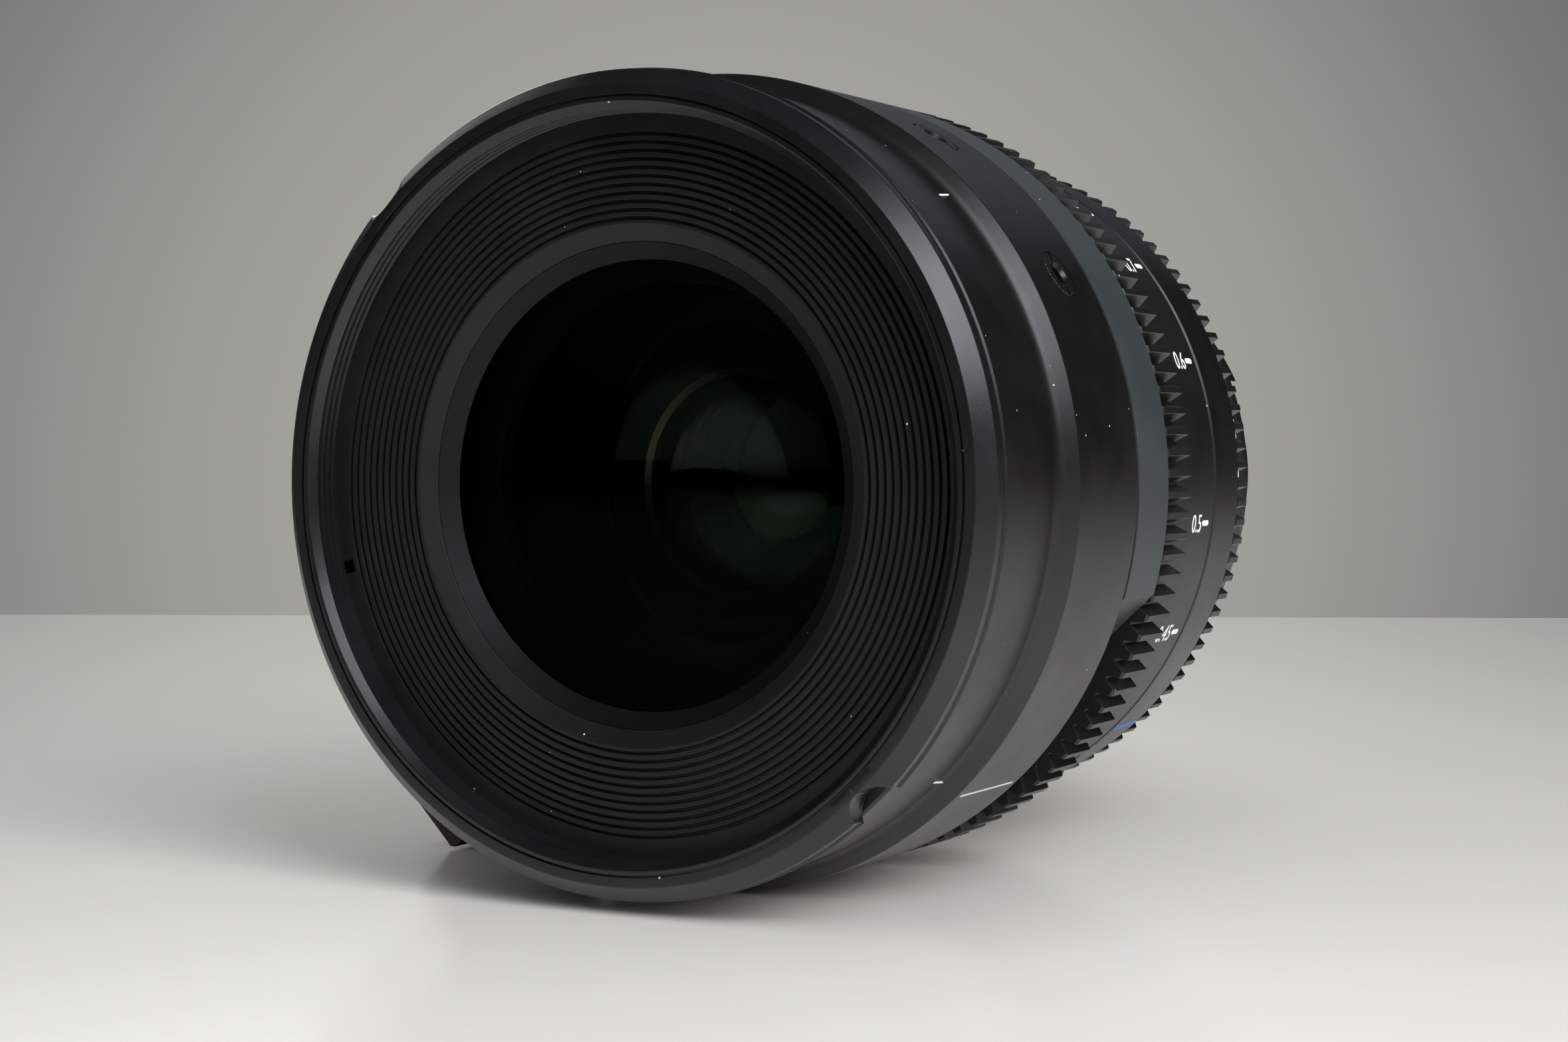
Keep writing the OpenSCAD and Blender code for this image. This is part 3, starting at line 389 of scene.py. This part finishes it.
def cove_r(s):
    """Radius of the waist and the cove at s."""
    turn = math.asin(max(0.0, min(1.0, (s - COVE_S) / COVE_LEN)) * math.sin(COVE_TURN))
    return WAIST_R + (BEVEL_R - WAIST_R) * (1 - math.cos(turn)) / (1 - math.cos(COVE_TURN))


cove = [(cove_r(COVE_S + COVE_LEN * i / 12), COVE_S + COVE_LEN * i / 12, 0) for i in range(13)]
barrel = turned_ring("front_barrel_casing", [
    (45.1, LAND_END, 0), (46.4, LAND_END), (WAIST_R, LAND_END + 0.3)] + cove[:-1] + [
    (BEVEL_R, 19.0), (BODY_R, BAND_S), (BODY_R, BAND_END, 0.15), (45.1, BAND_END, 0), (45.1, 28.0, 0),
    (31.95, 28.0, 0), (31.95, 24.0, 0), (45.1, 24.0, 0)], steps=360)
take_out(barrel, studs("bush_holes", [(BUSH_S, c) for c in BUSH_CLOCKS],
                       [(0.01, 43.0), (3.06, 43.0), (3.06, 50.0), (0.01, 50.0)]))
band_black = anodised("black_anodised_aluminium_barrel", "#0b0a0a", "#11100f", 0.36, ior=1.55)
fit(barrel, band_black, ["front_barrel"])


# Index marks: fine engraved lines filled with white paint, four ticks in the cove
# and one long line on the band.
def wrap(shell, outline, s, clock, surface, lift=0.035):
    """A thin patch of paint on the lens: outline holds (along the axis, round the lens) in mm."""
    sheets = []
    for high in (lift, -0.05):
        sheet = []
        for along, around in outline:
            r = surface(s + along)
            sheet.append(shell.verts.new(at(s + along, r + high, clock + math.degrees(around / r))))
        sheets.append(sheet)
    top, under = sheets
    shell.faces.new(top)
    shell.faces.new(under[::-1])
    for i in range(len(top)):
        k = (i + 1) % len(top)
        shell.faces.new((top[k], top[i], under[i], under[k]))


def dash(length, width):
    """A round-ended stroke along the axis, from 0 to length."""
    half = width / 2
    arc = [math.radians(22.5 * i - 90) for i in range(9)]
    rear = [(length - half + half * math.cos(a), half * math.sin(a)) for a in arc]
    front = [(half - half * math.cos(a), -half * math.sin(a)) for a in arc]
    return rear + front


def paint(name, colour, rough=0.45):
    """Enamel rubbed into an engraving: matt, opaque, a little uneven."""
    enamel = bpy.data.materials.new(name)
    enamel.use_nodes = True
    tree = enamel.node_tree
    skin = tree.nodes["Principled BSDF"]
    place = put(tree, "ShaderNodeTexCoord", {}).outputs["Object"]
    fill = put(tree, "ShaderNodeTexNoise", {"Vector": place, "Scale": 1 / (0.5 * MM), "Detail": 3.0})
    thin = [c * 0.8 for c in srgb(colour)[:3]] + [1.0]
    tone = put(tree, "ShaderNodeMix", {0: fill.outputs["Fac"], 6: srgb(colour), 7: thin}, data_type="RGBA")
    tree.links.new(tone.outputs[2], skin.inputs["Base Color"])
    skin.inputs["Roughness"].default_value = rough
    return enamel


white_paint = paint("white_enamel_fill", "#e4e5e2")
shell = bmesh.new()
for turn in range(4):
    wrap(shell, dash(2.0, 0.24), 16.3, ROLL - 1 + 90 * turn, cove_r)
wrap(shell, dash(14.5, 0.3), 21.5, ROLL + 90, lambda s: BODY_R)
bmesh.ops.recalc_face_normals(shell, faces=shell.faces)
fit(as_piece("barrel_index_lines", shell), white_paint)


# Accessory bushes: four steel inserts pressed in from inside, flush with the band.
# Each has a serrated rim, an M3 bore with a countersunk mouth, and a spanner slot across it.
bushes = studs("accessory_bushes_serrated", [(BUSH_S, c) for c in BUSH_CLOCKS], [
    (1.25, 44.6), (3.0, 44.6), (3.0, BODY_R - 0.12), (2.88, BODY_R), (1.65, BODY_R), (1.25, BODY_R - 0.4)],
    sides=144, wave=0.05, waves=36)
slots = bmesh.new()
for clock in BUSH_CLOCKS:
    out = at(FLANGE_S, 1, clock) / MM
    across = at(FLANGE_S, 1, clock + 90) / MM
    corners = []
    for r in (BODY_R - 0.7, BODY_R + 1):
        for around, along in ((-4, -0.2), (4, -0.2), (4, 0.2), (-4, 0.2)):
            corner = out * r + across * around + Vector((0, BUSH_S + along - FLANGE_S, 0))
            corners.append(slots.verts.new(corner * MM))
    for face in ((3, 2, 1, 0), (4, 5, 6, 7), (0, 1, 5, 4), (1, 2, 6, 5), (2, 3, 7, 6), (3, 0, 4, 7)):
        slots.faces.new([corners[i] for i in face])
bmesh.ops.recalc_face_normals(slots, faces=slots.faces)
take_out(bushes, as_piece("bush_slots", slots))
dark_steel = anodised("black_oxide_steel", "#0e0d0d", "#151413", 0.36, dust=0.2)
fit(bushes, dark_steel, ["accessory_bushes"])


# Shrouds: two slate-grey covers over the front of the focus gear, cut off flat at the sides.
# Turned aluminium with a fine blasted grey anodise, and a dark groove where each meets the band.
SHROUD_END = 47.5
SHROUD_BORE = 45.3
FLAT_X = 41.9
slate_grey = anodised("slate_anodised_aluminium_blasted", "#2b3033", "#313639", 0.46)
shroud_section = eased([(SHROUD_BORE, BAND_END, 0), (48.2, BAND_END, 0), (48.2, BAND_END + 0.6, 0),
                        (BODY_R, BAND_END + 0.6), (BODY_R, SHROUD_END, 0.08), (SHROUD_BORE, SHROUD_END, 0)])
for name, middle in (("top_shroud", ROLL), ("bottom_shroud", ROLL + 180)):
    columns = []
    for i in range(97):
        share = i / 48 - 1
        columns.append([at(s, r, middle + share * math.degrees(math.asin(FLAT_X / r)))
                        for r, s in shroud_section])
    fit(sweep(name + "_slate", columns, ends=True), slate_grey, [name], crease=30)


# Support foot: a saddle screwed under the band with a stem that reaches the table.
# Milled aluminium, painted a brownish black that wears at its edges; two cap screws hold it.
def coat_node(name, finish, soften=0.0):
    """Gives a CAD node its finish, and breaks its edges where soften says how far, in mm."""
    thing = nodes[name]
    thing.data.materials.clear()
    thing.data.materials.append(finish)
    if soften:
        edge = thing.modifiers.new("broken_edges", "BEVEL")
        edge.width = soften * MM
        edge.segments = 3
        edge.limit_method = "ANGLE"
        edge.angle_limit = math.radians(35)
        edge.harden_normals = True
        thing.data.polygons.foreach_set("use_smooth", [True] * len(thing.data.polygons))
        thing.data.set_sharp_from_angle(angle=math.radians(30))


foot_black = anodised("black_stove_enamel_on_aluminium", "#31261f", "#3f3229", 0.45, grain_mm=0.3, dust=0.4)
coat_node("lens_foot", foot_black, 0.4)
coat_node("foot_screws", dark_steel, 0.15)


# Cells: the front group's cell on the web inside the barrel, the cells and rings of the other groups,
# and the iris's cover and base. Turned aluminium, painted a dead flat black so that nothing glints
# beside the glass.
flat_black = anodised("flat_black_anti_glare_paint", "#0a0a0a", "#0d0d0d", 0.8, dust=0.05, ior=1.3)
for name in ("front_cell", "iris_cover", "iris_base", "rear_cell", "rear_retainer", "focus_cell",
             "focus_retainer"):
    coat_node(name, flat_black)


# Guide tube, cam and screws: the tube that carries the rings, the brass cam ring and rollers that move
# the focus cell, and the steel screws, keys and pin. All are turned and left bare, hidden in the lens.
def turned_metal(name, colour, shaded, rough, tool_mm=0.12):
    """Bare turned metal: it mirrors in its own colour, drawn out across the fine rings of the tool."""
    finish = bpy.data.materials.new(name)
    finish.use_nodes = True
    tree = finish.node_tree
    skin = tree.nodes["Principled BSDF"]
    place = put(tree, "ShaderNodeTexCoord", {}).outputs["Object"]
    parts = put(tree, "ShaderNodeSeparateXYZ", {0: place})
    flat = put(tree, "ShaderNodeVectorMath", {0: place, 1: (1.0, 0.0, 1.0)}, operation="MULTIPLY")
    radius = put(tree, "ShaderNodeVectorMath", {0: flat.outputs[0]}, operation="LENGTH")
    lathe = put(tree, "ShaderNodeCombineXYZ", {0: parts.outputs[1], 1: radius.outputs["Value"]})
    rings = put(tree, "ShaderNodeTexNoise", {
        "Vector": lathe.outputs[0], "Scale": 1 / (tool_mm * MM), "Detail": 2.0})
    film = put(tree, "ShaderNodeTexNoise", {"Vector": place, "Scale": 1 / (9 * MM), "Detail": 4.0})
    tone = put(tree, "ShaderNodeMix", {
        0: film.outputs["Fac"], 6: srgb(colour), 7: srgb(shaded)}, data_type="RGBA")
    gloss = put(tree, "ShaderNodeMapRange", {
        "Value": film.outputs["Fac"], "To Min": rough - 0.06, "To Max": rough + 0.08})
    grooves = put(tree, "ShaderNodeBump", {
        "Height": rings.outputs["Fac"], "Strength": 1.0, "Distance": 0.004 * MM})
    tree.links.new(tone.outputs[2], skin.inputs["Base Color"])
    tree.links.new(gloss.outputs[0], skin.inputs["Roughness"])
    tree.links.new(grooves.outputs[0], skin.inputs["Normal"])
    skin.inputs["Metallic"].default_value = 1.0
    return finish


steel = turned_metal("stainless_steel_turned", "#a5a6a8", "#8f9092", 0.28)
for name in ("cell_screws", "tube_screws", "focus_keys", "iris_drive_pin"):
    coat_node(name, steel)
brass = turned_metal("brass_turned", "#c9a45c", "#a98647", 0.3)
for name in ("cam_ring", "cam_rollers"):
    coat_node(name, brass)
bare_aluminium = turned_metal("bare_aluminium_turned", "#b9bbbe", "#a3a5a8", 0.32)
coat_node("guide_tube", bare_aluminium)


# Group retainer: the threaded ring behind the front group, painted like the cells.
# A stop plate of nickelled brass is seated in it, and its bare bevel is the pale arc seen deep in the lens.
coat_node("front_group_retainer", flat_black)
STOP_R = 17.4
plate = turned_ring("front_group_stop_plate", [
    (19.55, 39.3, 0), (19.55, 40.4, 0), (STOP_R, 42.8, 0.05), (STOP_R, 41.7, 0.05)])
fit(plate, flat_black)
nickel = turned_metal("nickel_plated_brass_dulled", "#605c4a", "#524e3e", 0.4)
lip = turned_ring("front_group_stop_lip", [
    (STOP_R, 41.7, 0.03), (STOP_R, 42.8, 0), (16.6, 42.8, 0.03), (16.6, 42.5, 0.03)])
fit(lip, nickel)


# Middle ring: a narrow fixed ring between the focus and iris rings, held on the guide tube.
# Its front edge is chamfered, and a blue index stripe is filled into it.
def mid_r(s):
    """Radius of the middle ring's slight taper at s."""
    return 45.1 - (s - 74.4) * 0.3 / 9.2


mid = turned_ring("mid_ring_turned", [
    (36.05, 74.1, 0), (38.6, 74.1, 0), (38.6, 77.1, 0), (42.1, 77.1, 0), (42.1, 74.1, 0), (44.8, 74.1, 0.03),
    (45.1, 74.4, 0.03), (44.8, 83.6, 0.1), (41.8, 83.6, 0), (41.8, 80.1, 0), (38.6, 80.1, 0), (38.6, 83.6, 0),
    (36.05, 83.6, 0)])
fit(mid, band_black, ["mid_ring"])
blue_paint = paint("blue_enamel_fill", "#2f66b0")
shell = bmesh.new()
wrap(shell, dash(8.4, 1.1), 74.8, ROLL + 90.2, mid_r)
bmesh.ops.recalc_face_normals(shell, faces=shell.faces)
fit(as_piece("mid_ring_index", shell), blue_paint)


# Rear barrel: the fixed casing behind the iris ring, tapering to the mount.
# Turned aluminium, anodised like the front barrel.
rear = turned_ring("rear_barrel_casing", [
    (36.05, 104.4, 0), (37.8, 104.4), (38.2, 104.8), (37.6, 108.0), (33.0, 119.0), (33.0, 120.6),
    (32.6, 121.0), (27.0, 121.0, 0), (27.0, 108.05, 0), (36.05, 108.05, 0)])
fit(rear, band_black, ["rear_barrel"])


# Mount: a stainless steel breech-lock flange with four lugs, a register tube and a locating notch.
# Turned and milled bright, held by four countersunk cap screws.
REGISTER_R = 27.0
PLATE_R = 31.0
LUG_R = 33.0


def mount_outline(rim):
    """The mount's section where its rim reaches out to rim."""
    return eased([(24.6, 121.0), (PLATE_R, 121.0), (PLATE_R, 121.8, 0), (rim, 121.8), (rim, FLANGE_S),
                  (REGISTER_R, FLANGE_S, 0), (REGISTER_R, 139.0), (24.6, 139.0)], 0.2)


columns = []
for i in range(360):
    turn = (i + 45) % 90 - 45
    lug = abs(turn) < 19
    notch = abs(i - 270) * math.pi / 180 * 32 < 1.5
    columns.append((ROLL + i, 31.4 if notch else LUG_R if lug else PLATE_R))
edges = []
for (a, r0), (b, r1) in zip(columns, columns[1:] + columns[:1]):
    edges.append((a, r0))
    if r0 != r1:
        edges += [(a + 0.49, r0), (a + 0.51, r1)]
mount = sweep("mount_flange_milled", [[at(s, r, clock) for r, s in mount_outline(rim)]
                                      for clock, rim in edges])
holes = bmesh.new()
for i in range(4):
    for r, s0, s1 in ((1.1, 120.0, 126.0), (1.75, 123.7, 126.0)):
        middle = Matrix.Translation(at((s0 + s1) / 2, 29.1, ROLL + 45 + 90 * i))
        bmesh.ops.create_cone(holes, cap_ends=True, segments=32, radius1=r * MM, radius2=r * MM,
                              depth=(s1 - s0) * MM, matrix=middle @ Matrix.Rotation(math.pi / 2, 4, "X"))
take_out(mount, as_piece("mount_holes", holes))
mount_steel = turned_metal("stainless_steel_milled", "#b4b5b7", "#9fa0a2", 0.22)
fit(mount, mount_steel, ["mount_flange"])
coat_node("mount_screws", steel, 0.1)


# Rear group: four elements in the rear cell, just ahead of the mount, held by a threaded ring.
# Their glass is given a dark tint, painted shade in place of the dark that a cap behind it would
# leave, so that the table behind the lens doesn't show through.
# The dark colour given for clear here is painted shade, not the colour of the glass.
rear_coat = coated_glass("optical_glass_rear_coat", "#9fc98f", 0.4, "#6f7a70")
element("element_08", 20, 98.281, 3, -60, 200, rear_coat)
element("element_09", 20, 101.781, 9, 60, 60, rear_coat)
element("element_10", 19, 111.981, 2, -80, -80, rear_coat)
element("element_11", 19, 114.042, 7, 70, 120, rear_coat)


# Focus ring: a nose that turns under the shrouds, a 0.8 module gear cut right through, and a plain
# cylinder behind it for the distance scale. Aluminium, hobbed and anodised black.
TOOTH_TIP = 0.9
TOOTH_DEPTH = 1.8
GEAR_S = 47.8
SCALE_S = 55.2
SCALE_R = 45.1


def geared(name, teeth, tip, outline_at):
    """A geared ring: outline_at(limit) is its section with the gear cut down to limit."""
    step = 360 / teeth
    tip_half = math.degrees(TOOTH_TIP / 2 / tip)
    root_half = 0.42 * step
    soft = math.degrees(0.08 / tip)
    root = tip - TOOTH_DEPTH
    form = ((-root_half, root), (-tip_half, tip - 0.08), (soft - tip_half, tip), (tip_half - soft, tip),
            (tip_half, tip - 0.08), (root_half, root))
    columns = []
    for i in range(teeth):
        for turn, limit in form:
            columns.append([at(s, r, ROLL + 90 + i * step + turn) for r, s in outline_at(limit)])
    return sweep(name, columns)


def focus_outline(limit):
    """The focus ring's section in a tooth or a space."""
    rise = max(0.02, 0.3 - (BODY_R - limit))
    return eased([(40.81, 37.9, 0), (45.0, 37.9), (45.0, GEAR_S, 0), (limit - rise, GEAR_S, 0.05),
                  (limit, GEAR_S + rise, 0.05), (limit, SCALE_S, 0.1), (SCALE_R, SCALE_S, 0),
                  (SCALE_R, 73.5, 0.1), (44.8, 73.8, 0.1), (39.21, 73.8, 0), (39.21, 66.2, 0),
                  (42.21, 66.2, 0), (42.21, 47.1, 0), (39.21, 47.1, 0), (39.21, 44.1, 0), (40.81, 44.1, 0)])


ring_black = anodised("black_anodised_aluminium_ring", "#111110", "#181716", 0.38)
fit(geared("focus_ring_geared", 120, BODY_R, focus_outline), ring_black, ["focus_ring"],
    "focus_ring_body", crease=35)


# Distance scale: figures in metres engraved on the focus ring and filled with white paint,
# each with a short stroke at the ring's rear edge. They read along the lens.
NARROW = 0.86  # how much narrower the figures are cut than the plain font


def figures(name, marks, start, surface, height, stroke_s, stroke, body):
    """Figures wrapped on a ring: marks holds (text, clock), and each has a stroke that starts at stroke_s.
    The text endless gives the far end's sign, which is an 8 on its side."""
    shell = bmesh.new()
    for text, clock in marks:
        letters = bpy.data.curves.new("figures", "FONT")
        letters.body = "8" if text == "endless" else text
        letters.extrude = 0.04
        holder = bpy.data.objects.new("figures", letters)
        bpy.context.scene.collection.objects.link(holder)
        flat = bpy.data.meshes.new_from_object(holder.evaluated_get(bpy.context.evaluated_depsgraph_get()))
        bpy.data.objects.remove(holder)
        low = min(v.co.y for v in flat.vertices)
        scale = height / (max(v.co.y for v in flat.vertices) - low)
        left = min(v.co.x for v in flat.vertices)
        wide = max(v.co.x for v in flat.vertices) - left
        first = len(shell.verts)
        shell.from_mesh(flat)
        shell.verts.ensure_lookup_table()
        for vertex in shell.verts[first:]:
            along = (vertex.co.x - left) * scale * NARROW
            around = (vertex.co.y - low) * scale - height / 2
            # The last figures of all marks stand in line, 5 mm behind start.
            s = start - (wide * scale * NARROW - 5.0) + along
            if text == "endless":
                around = ((vertex.co.x - left) - wide / 2) * scale
                s = start + (vertex.co.y - low) * scale * 1.15
            r = surface(s)
            vertex.co = at(s, r + (0.04 if vertex.co.z > 0 else -0.04), clock - math.degrees(around / r))
        bpy.data.meshes.remove(flat)
        wrap(shell, dash(*stroke), stroke_s, clock, surface, 0.04)
    bmesh.ops.remove_doubles(shell, verts=shell.verts, dist=1e-7)
    bmesh.ops.recalc_face_normals(shell, faces=shell.faces)
    fit(as_piece(name, shell), white_paint, (), body)


distances = [("0.45", 115.5), ("0.5", 96.8), ("0.6", 70), ("0.7", 52), ("0.8", 39.5), ("1", 23), ("1.2", 12),
             ("1.5", 1), ("2", 350), ("3", 339), ("5", 330), ("endless", 316.5)]
figures("distance_scale", distances, 64.6, lambda s: SCALE_R, 2.3, 70.0, (2.2, 0.7), "focus_ring_body")


# Focus group: three elements in a cell that slides in the guide tube, moved by rollers in the cam ring.
# Ground and polished like the others, with the coatings that show green and violet in the lens's depth.
element("element_05", 22, 48.0, 8.5, 70, 70, green_coat, "focus_cell_body")
element("element_06", 22, 57.5, 2, -70, -45, violet_coat, "focus_cell_body")
element("element_07", 20, 61.27, 8, 50, 90, teal_coat, "focus_cell_body")


# Iris ring: a geared ring with the aperture scale on its tapered rear half.
# Aluminium, anodised like the focus ring; a pin through the guide tube drives the iris.
TAPER_S = 87.3
TAPER_R = 42.5


def iris_outline(limit):
    """The iris ring's section in a tooth or a space."""
    return eased([(36.06, 83.9, 0), (limit, 83.9), (limit, TAPER_S, 0.1), (TAPER_R, TAPER_S, 0),
                  (38.5, 103.8), (38.2, 104.1), (36.06, 104.1, 0)])


def taper_r(s):
    """Radius of the iris ring's tapered scale at s."""
    return TAPER_R - (s - TAPER_S) * 4.0 / 16.5


fit(geared("iris_ring_geared", 110, 44.8, iris_outline), ring_black, ["iris_ring"],
    "iris_ring_body", crease=35)
stops = [(text, ROLL + 90 - 9.375 * i) for i, text in
         enumerate(("1.4", "2", "2.8", "4", "5.6", "8", "11", "16", "22"))]
figures("aperture_scale", stops, 92.0, taper_r, 2.6, 88.2, (1.8, 0.5), "iris_ring_body")


# Iris: eleven thin blades on pins, swung by a slotted actuator ring.
# Spring steel, blackened, with the faint rub marks of their sliding.
coat_node("iris_actuator", matte_black)
blade_black = anodised("black_oxide_spring_steel", "#141415", "#202022", 0.4, grain_mm=0.4, dust=0.05)
for i in range(1, 12):
    coat_node(f"iris_blade_{i:02d}", blade_black)


# Table: a glossy pale laminate top that ends behind the lens, which lies on its wide rings and its foot.
# The gloss mirrors the lens at this low angle, softened by fine unevenness of the laminate.
TABLE_Z = -0.0488
TABLE_T = 0.03
DESK_DEPTH = 0.8
DESK_SIDE = 0.7  # how far the far edge runs on past both of its points
far_left, far_right = Vector((-0.447, 0.223)), Vector((-0.020, 0.441))
run = (far_right - far_left).normalized()
towards = Vector((run.y, -run.x))
board = bmesh.new()
top = []
left, right = far_left - run * DESK_SIDE, far_right + run * DESK_SIDE
for high in (TABLE_Z, TABLE_Z - TABLE_T):
    ring = [left, right, right + towards * DESK_DEPTH, left + towards * DESK_DEPTH]
    top.append([board.verts.new((p.x, p.y, high)) for p in ring])
board.faces.new(top[0])
board.faces.new(top[1])
for i in range(4):
    k = (i + 1) % 4
    board.faces.new((top[0][i], top[0][k], top[1][k], top[1][i]))
bmesh.ops.recalc_face_normals(board, faces=board.faces)
table = as_piece("table_top", board)
laminate = bpy.data.materials.new("white_laminate_gloss")
laminate.use_nodes = True
tree = laminate.node_tree
skin = tree.nodes["Principled BSDF"]
place = put(tree, "ShaderNodeTexCoord", {}).outputs["Object"]
orange_peel = put(tree, "ShaderNodeTexNoise", {"Vector": place, "Scale": 1 / (3 * MM), "Detail": 2.0})
wave = put(tree, "ShaderNodeBump", {
    "Height": orange_peel.outputs["Fac"], "Strength": 1.0, "Distance": 0.01 * MM})
tree.links.new(wave.outputs[0], skin.inputs["Normal"])
skin.inputs["Base Color"].default_value = srgb("#e0dfdb")
skin.inputs["Roughness"].default_value = 0.16
skin.inputs["IOR"].default_value = 1.45
table.data.materials.append(laminate)


# Studio: a soft key from the right, a second one for the table and the even light of a pale ceiling.
# Two softboxes behind the lens show only as highlights on its rims. The grey backdrop carries a painted
# pool of light in its middle, with painted shade upwards and towards its corners.
def softbox(name, towards, distance, width, height, watts, tint="#ffffff", mirrored=True, lights=True):
    """A rectangular softbox that faces the lens from a direction; unless mirrored, gloss doesn't show it,
    and unless it lights, only gloss does. None is seen through glass."""
    lamp = bpy.data.lights.new(name, "AREA")
    lamp.shape = "RECTANGLE"
    lamp.size = width
    lamp.size_y = height
    lamp.energy = watts
    lamp.color = srgb(tint)[:3]
    holder = bpy.data.objects.new(name, lamp)
    aim = Vector(towards).normalized()
    holder.location = Vector((0, -0.08, 0)) + aim * distance
    holder.rotation_euler = aim.to_track_quat("Z", "Y").to_euler()
    holder.visible_glossy = mirrored
    holder.visible_transmission = False
    holder.visible_diffuse = lights
    bpy.context.scene.collection.objects.link(holder)


softbox("key_softbox", (0.68, -0.44, 0.59), 1.1, 0.62, 0.62, 8.6, "#f4f8ff")
softbox("table_softbox", (0.70, -0.30, 0.33), 0.8, 0.6, 0.5, 5.8, "#fffaf2", mirrored=False)
softbox("top_softbox", (-0.1, 0.8, 0.55), 1.2, 0.7, 0.4, 0.28, "#dfe9ff", lights=False)
softbox("rear_softbox", (-0.65, 0.6, 0.45), 1.3, 0.45, 0.45, 4.0, lights=False)

# Painted light on the backdrop: a pool of light about this middle that falls off into painted shade.
BACKDROP_MIDDLE = (-0.499, 0.866, -0.017)
BACKDROP_SPREAD = 0.048
BACKDROP_EDGE = 1.9
CEILING = (0.22, -0.40, 0.89)
world = bpy.data.worlds.new("studio_backdrop")
bpy.context.scene.world = world
world.use_nodes = True
tree = world.node_tree
sky = tree.nodes["Background"]
way = put(tree, "ShaderNodeTexCoord", {}).outputs["Generated"]
spot = put(tree, "ShaderNodeVectorMath", {0: way, 1: BACKDROP_MIDDLE}, operation="DOT_PRODUCT")
aside = put(tree, "ShaderNodeMath", {0: 1.0, 1: spot.outputs["Value"]}, operation="SUBTRACT", use_clamp=True)
spread = put(tree, "ShaderNodeMath", {0: aside.outputs[0], 1: BACKDROP_SPREAD}, operation="DIVIDE")
bend = put(tree, "ShaderNodeMath", {0: spread.outputs[0], 1: BACKDROP_EDGE}, operation="POWER")
drop = put(tree, "ShaderNodeMath", {0: bend.outputs[0], 1: -1.0}, operation="MULTIPLY")
painted_light_falloff = put(tree, "ShaderNodeMath", {0: drop.outputs[0]}, operation="EXPONENT")
path = put(tree, "ShaderNodeLightPath", {})
# The room is dark where only gloss sees it.
room = put(tree, "ShaderNodeMix", {
    0: path.outputs["Is Camera Ray"], 6: srgb("#121213"), 7: srgb("#5d5d5c")}, data_type="RGBA")
painted_lit_backdrop = put(tree, "ShaderNodeMix", {
    0: painted_light_falloff.outputs[0], 6: room.outputs[2], 7: srgb("#a6a5a0")}, data_type="RGBA")
# Only what is seen, straight or by gloss and glass, is the backdrop; other rays find the ceiling's light.
seen = put(tree, "ShaderNodeMath", {0: path.outputs["Is Camera Ray"], 1: path.outputs["Is Glossy Ray"]},
           operation="MAXIMUM")
seen = put(tree, "ShaderNodeMath", {0: seen.outputs[0], 1: path.outputs["Is Transmission Ray"]},
           operation="MAXIMUM")
overhead = put(tree, "ShaderNodeVectorMath", {0: way, 1: CEILING}, operation="DOT_PRODUCT")
sheet = put(tree, "ShaderNodeMapRange", {
    "Value": overhead.outputs["Value"], "From Min": 0.1, "From Max": 0.9})
ceiling = put(tree, "ShaderNodeMix", {
    0: sheet.outputs[0], 6: srgb("#4a4a49"), 7: (0.95, 0.95, 0.93, 1.0)}, data_type="RGBA")
glow = put(tree, "ShaderNodeMix", {
    0: seen.outputs[0], 6: ceiling.outputs[2], 7: painted_lit_backdrop.outputs[2]}, data_type="RGBA")
tree.links.new(glow.outputs[2], sky.inputs["Color"])

# A ray crosses up to 22 faces of glass each way, more than the usual limits.
bpy.context.scene.cycles.max_bounces = 48
bpy.context.scene.cycles.transmission_bounces = 48


# Camera: at the place that the ring edges and gear teeth of the photograph give, close in front of the lens.
# It is a 61 mm lens on a 36 mm wide sensor, level with the optical axis and without blur of depth.
view = bpy.data.cameras.new("camera")
view.lens = 61.36
view.sensor_width = 36
view.sensor_fit = "HORIZONTAL"
view.clip_start = 0.01
forward = Vector((-0.4843, 0.8744, -0.0309)).normalized()
right = forward.cross(Vector((0, 0, 1))).normalized()
up = right.cross(forward)
camera = bpy.data.objects.new("camera", view)
camera.matrix_world = Matrix((right, up, -forward)).transposed().to_4x4()
camera.matrix_world.translation = Vector((0.1634, -0.3794, 0.0055))
bpy.context.scene.collection.objects.link(camera)
bpy.context.scene.camera = camera
bpy.context.scene.view_settings.view_transform = "Standard"
